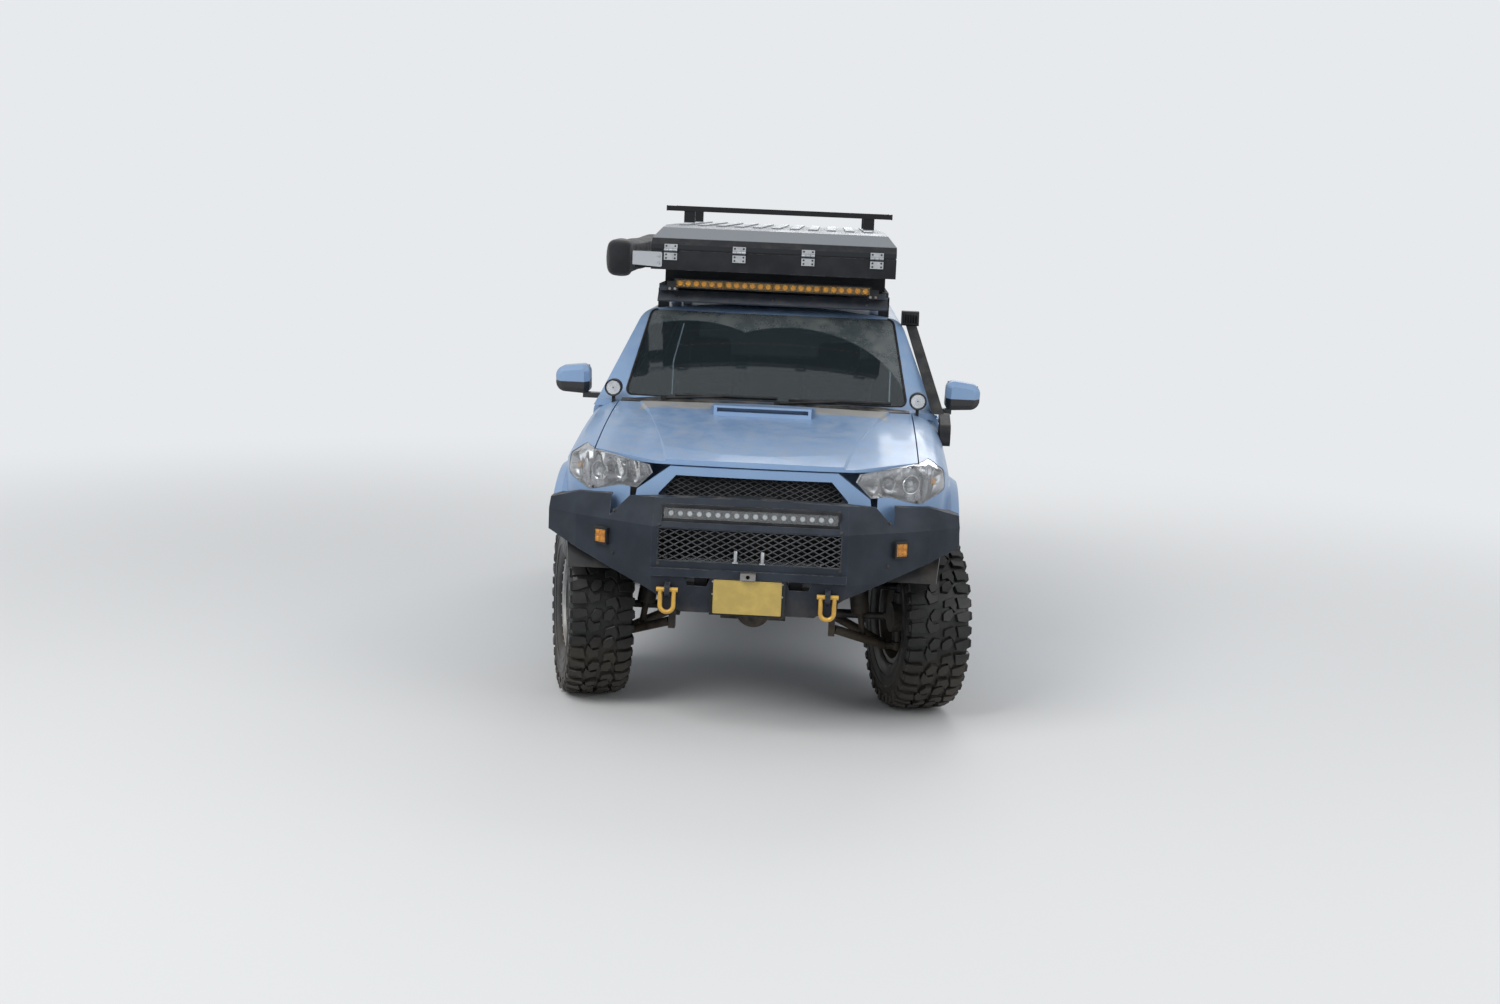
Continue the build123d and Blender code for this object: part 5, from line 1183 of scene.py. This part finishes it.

# Tail lamps: red over clear over red on the real lamps, here each a red lens before a housing

for sideName, side in sides:
    lens, housing = splitLamp("tail_lamps", f"tail{{}}{sideName}", side, 0.25, 1)
    finishPiece(lens, "redLens")
    finishPiece(housing, "lampHousing", slotName="red_lens")
    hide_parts("tail_lamps")
print("tail lamps done")

# Soft pieces: cloth blown up a little over a remeshed core, so that it creases between its seams

cloth = {
    "voxel": 0.011, "frames": 18, "pressure": 4.0, "reach": 0.024,
    "shrink": 0.975, "tension": 12, "slack": -0.02,
    "seam": (0.020, 0.012), "crossSeam": (0.016, 0.008),  # width, depth
}


def puffed(obj, pin=None):
    # Cloth under pressure, its travel capped; pin(place) keeps a vertex still
    modify(obj, "REMESH", mode="VOXEL", voxel_size=cloth["voxel"])
    scene = bpy.context.scene
    scene.frame_set(1)
    before = [vertex.co.copy() for vertex in obj.data.vertices]
    modifier = obj.modifiers.new("cloth", "CLOTH")
    modifier.settings.use_pressure = True
    modifier.settings.uniform_pressure_force = cloth["pressure"]
    modifier.settings.effector_weights.gravity = 0
    modifier.settings.tension_stiffness = cloth["tension"]
    modifier.settings.shrink_min = cloth["slack"]
    if pin is not None:
        group = obj.vertex_groups.new(name="held")
        group.add([v.index for v in obj.data.vertices if pin(v.co)], 1.0, "REPLACE")
        modifier.settings.vertex_group_mass = "held"
    for step in range(1, cloth["frames"] + 1):
        scene.frame_set(step)
    pick(obj)
    bpy.ops.object.modifier_apply(modifier="cloth")
    for vertex, start in zip(obj.data.vertices, before):
        travel = vertex.co - start
        if travel.length > cloth["reach"]:
            vertex.co = start + travel.normalized() * cloth["reach"]
    scene.frame_set(1)


def softened(obj):
    modify(obj, "SMOOTH", factor=0.5, iterations=4)
    modify(obj, "SUBSURF", levels=1, render_levels=1)


def pressed(obj, seams, width, depth, along):
    # A channel pressed in at each seam, a place on the axis called along
    for vertex in obj.data.vertices:
        for seam in seams:
            away = abs(vertex.co[along] - seam) / width
            if away < 1:
                vertex.co -= vertex.normal * depth * (1 - away * away) ** 2


seat = {
    "cushion": ((-0.235, -0.425, 0.83), (0.235, 0.075, 0.985)),
    "back": ((-0.225, 0.005, 0.945), (0.225, 0.105, 1.51)),
    "head": ((-0.120, 0.162, 1.495), (0.120, 0.246, 1.652)),
    "cushionSeams": ((-0.14, 0.14), (-0.28, -0.12)), "backSeams": ((-0.13, 0.13), (1.10, 1.26, 1.40)),
    "lean": -14, "fold": (0, 0.06, 0.94), "headFold": (0, 0.204, 1.574), "dish": 0.022,
    "places": {"Left": 0.37, "Right": -0.37},
    "foot": ((-0.18, -0.37, 0.755), (0.18, 0.03, 0.84)),
    "stem": [(0.0, 0.0), (0.0, 0.0065), (0.16, 0.0065), (0.16, 0.0)], "stemX": (-0.055, 0.055),
    "stemFoot": (0.165, 1.42),
}
bench = {
    "cushion": ((-0.63, 0.44, 0.78), (0.63, 0.77, 1.04)),
    "back": ((-0.525, 0.795, 0.89), (0.525, 0.895, 1.55)),
    "cushionSeams": ((-0.22, 0.22), (0.52, 0.64)), "backSeams": ((-0.18, 0.18), (1.08, 1.26, 1.42)),
    "lean": -10, "fold": (0, 0.78, 0.96),
}


def cushion(name, corners, upright, across, axis, edge=0.035, dish=0):
    # A soft block with seams across X at the places in upright, and along the axis at those in across
    made = brick(name, *corners, edge, 4)
    moved(made, about((Vector(corners[0]) + Vector(corners[1])) / 2, Matrix.Scale(cloth["shrink"], 4)))
    puffed(made)
    pressed(made, upright, *cloth["seam"], 0)
    softened(made)
    if dish:
        deepened(made, corners, dish, 3 - axis, 1 if axis == 1 else -1)
    pressed(made, across, *cloth["crossSeam"], axis)
    return made


def deepened(obj, corners, amount, along, facing):
    # Dishes the face that points along an axis, so the side bolsters stand up
    half = (corners[1][0] - corners[0][0]) / 2
    for vertex in obj.data.vertices:
        if vertex.normal[along] * facing > 0.35:
            across = abs(vertex.co.x) / half
            vertex.co[along] -= facing * amount * max(0.0, 1 - across ** 2 * 1.9)


lean = turnBy(seat["lean"], "X")
seatBase = cushion("seatCushion", seat["cushion"], *seat["cushionSeams"], 1, dish=seat["dish"])
seatBack = cushion("seatBack", seat["back"], *seat["backSeams"], 2, dish=seat["dish"])
moved(seatBack, about(seat["fold"], lean))
seatHead = cushion("seatHead", seat["head"], (), (), 0, 0.028)
moved(seatHead, about(seat["headFold"], lean))
for sideName, x in seat["places"].items():
    move = Matrix.Translation((x, 0, 0))
    frameParts = [moved(brick("base", *seat["foot"], 0.012), move)]
    for post in seat["stemX"]:
        stem = turned("stem", seat["stem"], 16, (0, 0, 1))
        frameParts.append(moved(stem, Matrix.Translation((x + post, *seat["stemFoot"])) @ lean))
    base = finishPiece(copyOf(seatBase, move, f"frontSeatCushion{sideName}"), "seatCloth", smooth=60)
    back = finishPiece(copyOf(seatBack, move, f"frontSeatBack{sideName}"), "seatCloth", smooth=60)
    head = finishPiece(copyOf(seatHead, move, f"frontHeadrest{sideName}"), "seatCloth", smooth=60)
    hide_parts("seats")
    finishPiece(joined(frameParts, f"frontSeatFrame{sideName}"), "blackPlastic", slotName="seat_fabric")
drop(seatBase, seatBack, seatHead)
benchBase = cushion("benchCushion", bench["cushion"], *bench["cushionSeams"], 1)
benchBack = cushion("benchBack", bench["back"], *bench["backSeams"], 2)
moved(benchBack, about(bench["fold"], turnBy(bench["lean"], "X")))
for piece in (benchBase, benchBack):
    finishPiece(piece, "seatCloth", smooth=60)
print("seats done")

# Awning bag: coated cloth over the rolled awning, with its seams and straps pressed in

awning = {
    "corners": ((-0.886, -0.750, 2.012), (-0.736, 1.232, 2.214)), "shrink": (0.90, 0.995, 0.92, 1),
    "held": 0.012,
    "seams": ((-0.30, 0.24, 0.78), 0.013, 0.005), "straps": ((-0.48, 0.10, 0.66, 1.08), 0.020, 0.007),
}
low, high = awning["corners"]
bag = brick("awningBagCloth", low, high, 0.045, 5)
moved(bag, about((Vector(low) + Vector(high)) / 2, Matrix.Diagonal(awning["shrink"])))
puffed(bag, lambda place: place.x > high[0] - awning["held"])
pressed(bag, *awning["seams"], 1)
pressed(bag, *awning["straps"], 1)
softened(bag)
finishPiece(bag, "bagCloth", smooth=60)
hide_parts("awning_bag")
print("awning bag done")

# Lamp lenses: four amber panes in the roof bar, a clear one in the bumper, amber fog lamps, round side lamps

lensPanes = {
    "roof": ((-0.1245, -0.6412, 1.9715), (0.1245, -0.6386, 2.0085)), "roofX": (-0.384, -0.128, 0.128, 0.384),
    "bumper": ((-0.387, -2.3777, 1.0255), (0.387, -2.3750, 1.0725)),
}
panes = []
for x in lensPanes["roofX"]:
    panes.append(moved(brick("pane", *lensPanes["roof"], 0.0008, 1), Matrix.Translation((x, 0, 0))))
finishPiece(joined(panes, "roofBarLenses"), "amberPane")
finishPiece(brick("bumperBarLens", *lensPanes["bumper"], 0.0008, 1), "clearPane")
fog = {
    "seat": (0.668, -2.252, 0.913), "turn": 31.7, "outer": 0.0375, "inner": 0.0290,
    "bezelY": (-0.0268, -0.0225), "coverY": (-0.0256, -0.0236), "floorY": (-0.0202, -0.0188),
    "cell": [(0.0, 0.0), (-0.0001, 0.0125), (-0.0030, 0.0115), (-0.0050, 0.0070), (-0.0055, 0.0)],
    "cellY": -0.0195, "cellAway": (-0.015, 0.015),
}
for sideName, side in sides:
    x, y, z = fog["seat"]
    move = Matrix.Translation((side * x, y, z)) @ turnBy(side * fog["turn"], "Z")
    outer, inner, (front, back) = fog["outer"], fog["inner"], fog["bezelY"]
    strips = bricks([((-outer, front, inner), (outer, back, outer)),
                     ((-outer, front, -outer), (outer, back, -inner)),
                     ((-outer, front, -inner), (-inner, back, inner)),
                     ((inner, front, -inner), (outer, back, inner))])
    front, back = fog["coverY"]
    cover = brick(f"fogCover{sideName}", (-inner, front, -inner), (inner, back, inner), 0.0008, 1)
    front, back = fog["floorY"]
    cells = [brick("floor", (-inner, front, -inner), (inner, back, inner), 0.0004, 1)]
    for across in fog["cellAway"]:
        for up in fog["cellAway"]:
            dome = turned("cell", fog["cell"], 28, (0, 1, 0))
            cells.append(moved(dome, Matrix.Translation((across, fog["cellY"], up))))
    finishPiece(moved(joined(strips, f"fogBezel{sideName}"), move), "blackPlastic")
    finishPiece(moved(cover, move), "amberPane")
    finishPiece(moved(joined(cells, f"fogCells{sideName}"), move), "fogAmber")
sideLamp = {
    "seat": (0.772, -1.122, 1.470),
    "Ring": ("blackMetal", [(0.0, 0.0365), (0.0, 0.0432), (-0.004, 0.0440), (-0.006, 0.0425),
                            (-0.006, 0.0385), (-0.003, 0.0365)]),
    "Glass": ("clearPane", [(-0.0005, 0.0), (-0.0005, 0.0375), (-0.002, 0.0375), (-0.0035, 0.026),
                            (-0.0045, 0.0)]),
    "Bowl": ("chrome", [(-0.0004, 0.004), (-0.0004, 0.034), (-0.0012, 0.034), (-0.0012, 0.004)]),
}
for sideName, side in sides:
    x, y, z = sideLamp["seat"]
    for label in ("Ring", "Bowl", "Glass"):
        look, profile = sideLamp[label]
        shape = turned(f"sideLamp{label}{sideName}", profile, 40, (0, 1, 0))
        finishPiece(moved(shape, Matrix.Translation((side * x, y, z))), look)
print("lamp panes done")

# Fixings: a six-sided head, modelled once for each size and set on the skin it holds

boltShares = [  # height share, radius share, from the seat up and back to the axis
    (0.0, 0.0), (0.0, 1.35), (0.25, 1.30), (0.28, 0.98), (1.0, 0.90), (1.0, 0.0),
]


def setOut(seats, radius, height, name, look, body="chassis"):
    # One six-sided head for each seat: its place and the direction that it points
    head = turned("boltHead", shaped(boltShares, radius, height), 6, (0, 0, 1))
    made = []
    for place, outward in seats:
        turn = Vector((0, 0, 1)).rotation_difference(Vector(outward)).to_matrix().to_4x4()
        made.append(copyOf(head, Matrix.Translation(place) @ turn))
    drop(head)
    return finishPiece(joined(made, name), look, body, 30)


def spotsAt(across, heights):
    return [(x, z) for x in across for z in heights]


faceBolts = [  # node met from the front, spots (x, z), head radius, height, name, finish
    ("front_bumper", spotsAt((-0.405, 0.405), (0.825, 0.998)) + spotsAt((-0.62, 0.62), (0.84, 1.03))
     + spotsAt((-0.125, 0.125), (0.655, 0.630)), 0.0075, 0.006, "bumperBolts", "castMetal"),
    ("roof_rack", spotsAt((-0.50, 0.0, 0.50), (1.915,)), 0.0065, 0.005, "fairingBolts", "wornSteel"),
    ("roof_light_bar", spotsAt((-0.516, -0.544, 0.516, 0.544), (1.960,)), 0.0060, 0.005, "lightBarBolts",
     "wornSteel"),
    ("plate_frame", spotsAt((-0.155, 0.155), (0.700, 0.757)), 0.0040, 0.003, "plateScrews", "wornSteel"),
]
for nodeName, spots, radius, height, name, look in faceBolts:
    seats = [onSurface(nodes[nodeName], (x, -3.2, z), (0, 1, 0)) for x, z in spots]
    setOut([seat for seat in seats if seat[0] is not None], radius, height, name, look)
print("bolts done")

# Bumper window: two bright posts in front of the mesh

windowPost = [(0.845, 0.0), (0.845, 0.0075), (0.849, 0.0090), (0.892, 0.0090), (0.896, 0.0075), (0.896, 0.0)]
posts = []
for x in (-0.06, 0.06):
    posts.append(moved(turned("windowPost", windowPost, 24, (0, 0, 1)), Matrix.Translation((x, -2.401, 0))))
    posts.append(brick("foot", (x - 0.013, -2.408, 0.8395), (x + 0.013, -2.3925, 0.846), 0.001, 1))
finishPiece(joined(posts, "windowPosts"), "hingeSteel")

# Number plate: a raised rim round the blank sheet

wall, proud, sunk = 0.0035, 0.0014, 0.0004
(x0, y0, z0), (x1, y1, z1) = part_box("number_plate")[:2]
front, back = y0 - proud, y0 + sunk
strips = bricks([((x0, front, z0), (x1, back, z0 + wall)), ((x0, front, z1 - wall), (x1, back, z1)),
                 ((x0, front, z0), (x0 + wall, back, z1)), ((x1 - wall, front, z0), (x1, back, z1))], 0.0006)
finishPiece(joined(strips, "plateRim"), "goldSheet")

# Tent: bright two-leaf hinges with screws, end caps on the load bars, latches, and a black seal

tent = {
    "hingeX": (-0.538, -0.180, 0.180, 0.538), "pin": (-0.735, 2.164), "barrel": 0.0078, "half": 0.0345,
    "leafY": ((-0.7348, -0.7325), (-0.7254, -0.7235)), "leafZ": ((2.1115, 2.1505), (2.1700, 2.1945)),
    "knuckles": ((-0.0345, -0.0124, 0), (0.0124, 0.0345, 0), (-0.0112, 0.0112, 1)),
    "screwX": (-0.023, 0.023), "screwZ": ((2.1215, 2.1405), (2.1845,)),
    "barY": (0.0, 0.680), "barHalf": 0.625, "barWide": 0.040, "barHigh": 0.028, "capOver": 0.0015,
    "seal": [  # x and y of opposite corners
        (-0.634, -0.7245, 0.634, -0.712), (-0.634, 1.575, 0.634, 1.588),
        (-0.638, -0.722, -0.622, 1.585), (0.622, -0.722, 0.638, 1.585),
    ],
    "sealZ": (2.1622, 2.1668),
}
leaves, screws = ([], []), ([], [])  # on the base, on the lid
for x in tent["hingeX"]:
    for index, ((y0, y1), (z0, z1)) in enumerate(zip(tent["leafY"], tent["leafZ"])):
        leaves[index].append(brick("leaf", (x - tent["half"], y0, z0), (x + tent["half"], y1, z1), 0.0007, 1))
        for away in tent["screwX"]:
            screws[index].extend(((x + away, y0, z), (0, -1, 0)) for z in tent["screwZ"][index])
    for x0, x1, index in tent["knuckles"]:
        knuckle = turned("knuckle", [(x0, 0.0), (x0, 0.0070), (x0 + 0.0008, tent["barrel"]),
                                     (x1 - 0.0008, tent["barrel"]), (x1, 0.0070), (x1, 0.0)], 24)
        leaves[index].append(moved(knuckle, Matrix.Translation((x, *tent["pin"]))))
for index, (half, body) in enumerate((("Base", "chassis"), ("Lid", "tent_top"))):
    finishPiece(joined(leaves[index], f"tentHinge{half}"), "hingeSteel", body)
    setOut(screws[index], 0.0042, 0.0022, f"tentScrews{half}", "castMetal", body)
caps = []
barTop, over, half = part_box("tent_lid")[1][2], tent["capOver"], tent["barWide"] / 2
for y in tent["barY"]:
    for x, inner, outer in ((-tent["barHalf"], -0.003, -0.0045), (tent["barHalf"], -0.003, 0.0045)):
        caps.append(brick("cap", (x + inner, y - half - over, barTop - tent["barHigh"] - over),
                          (x + outer, y + half + over, barTop + over), 0.002))
finishPiece(joined(caps, "loadBarCaps"), "blackPlastic", "tent_top")
latches = []
for x in (-0.42, 0.42):
    latches += bricks([((x - 0.022, 1.5905, 2.085), (x + 0.022, 1.602, 2.150)),
                       ((x - 0.013, 1.601, 2.095), (x + 0.013, 1.611, 2.138))], 0.003, 2)
finishPiece(joined(latches, "tentLatches"), "blackMetal")
z0, z1 = tent["sealZ"]
strips = bricks([((x0, y0, z0), (x1, y1, z1)) for x0, y0, x1, y1 in tent["seal"]])
finishPiece(joined(strips, "tentSeal"), "rubberSeal")
print("tent fittings done")

# Awning bracket: a plate from the tent's corner to the bag, with two bolts

bracketLine = [(-0.736, 2.082), (-0.588, 2.074), (-0.582, 2.080), (-0.582, 2.146), (-0.588, 2.152),
               (-0.736, 2.152)]
bracket = plate("awningBracket", [(x, -0.7290, z) for x, z in bracketLine], (0, -0.004, 0))
finishPiece(bracket, "satinAluminium")
bracketBolts = [((-0.598, -0.733, z), (0, -1, 0)) for z in (2.096, 2.132)]
setOut(bracketBolts, 0.0070, 0.005, "awningBolts", "hingeSteel")

# Winch: rope laid on the drum

rope = {"from": -0.184, "to": 0.184, "turns": 40, "drum": (-2.290, 0.700), "radius": 0.0395, "thick": 0.0046,
        "tilt": 2.0}
bpy.ops.object.select_all(action="DESELECT")
bpy.ops.mesh.primitive_torus_add(major_radius=rope["radius"], minor_radius=rope["thick"], major_segments=36,
                                 minor_segments=8, rotation=(0, math.pi / 2, 0))
turnShape = bpy.context.object
bpy.ops.object.transform_apply(location=True, rotation=True, scale=True)
coils = []
for index in range(rope["turns"]):
    x = between(rope["from"], rope["to"], index / (rope["turns"] - 1))
    coils.append(copyOf(turnShape, Matrix.Translation((x, *rope["drum"])) @ turnBy(rope["tilt"], "Z")))
drop(turnShape)
finishPiece(joined(coils, "winchRope"), "bagCloth", smooth=60)

# Snorkel head: upright slats in its mouth

slats = [((0.7035 + 0.0137 * index, -0.526, 1.8262), (0.7065 + 0.0137 * index, -0.5085, 1.8718))
         for index in range(6)]
finishPiece(joined(bricks(slats, 0.0006), "snorkelSlats"), "blackPlastic")

# Door mirrors: a silvered pane in a thin black frame on the rear face

paneLine = [(0.938, 1.419), (1.089, 1.427), (1.094, 1.526), (0.942, 1.547)]
middle = Vector((1.016, 0, 1.480))
mirrorLayers = [("Frame", 1.045, 0.0025, "blackPlastic"), ("Glass", 0.97, 0.0032, "chrome")]
for sideName, side in sides:
    spot, normal = onSurface(nodes[f"mirror_{sideName.lower()}"], (side * 1.02, 0.3, 1.48), (0, -1, 0))
    for label, grow, lift, look in mirrorLayers:
        points = []
        for x, z in paneLine:
            at = middle + (Vector((x, 0, z)) - middle) * grow
            points.append((side * at.x, spot.y - 0.001, at.z))
        pane = plate(f"mirror{label}{sideName}", points[::-side], (0, lift, 0))
        finishPiece(pane, look, f"door_front_{sideName.lower()}")
print("mirrors, rope and snorkel done")

# Engine: a ribbed cover with a filler cap on top of the block

engine = {"inset": 0.045, "high": 0.030, "rib": 0.018, "ribHigh": 0.010, "ribs": 7, "look": (0, -1.55),
          "cap": [(0.0, 0.0), (0.0, 0.034), (0.014, 0.034), (0.018, 0.028), (0.030, 0.026), (0.032, 0.0)]}
block = nodes["engine_block"]
x, y = engine["look"]
top = onSurface(block, (x, y, 2), (0, 0, -1))[0].z
wide = onSurface(block, (2, y, top - 0.03), (-1, 0, 0))[0].x - engine["inset"]
front = onSurface(block, (x, -3, top - 0.03), (0, 1, 0))[0].y + engine["inset"]
back = onSurface(block, (x, 1, top - 0.03), (0, -1, 0))[0].y - engine["inset"]
crown = top + engine["high"]
parts = [brick("cover", (-wide, front, top - 0.002), (wide, back, crown), 0.012, 3)]
for index in range(engine["ribs"]):
    x = between(-wide + 0.05, wide - 0.05, index / (engine["ribs"] - 1))
    parts.append(brick("rib", (x - engine["rib"] / 2, front + 0.03, crown - 0.002),
                       (x + engine["rib"] / 2, back - 0.12, crown + engine["ribHigh"]), 0.003))
cap = turned("cap", engine["cap"], 32, (0, 0, 1))
parts.append(moved(cap, Matrix.Translation((0.09, back - 0.06, crown - 0.002))))
finishPiece(joined(parts, "engineCover"), "blackPlastic")
print("engine cover done")
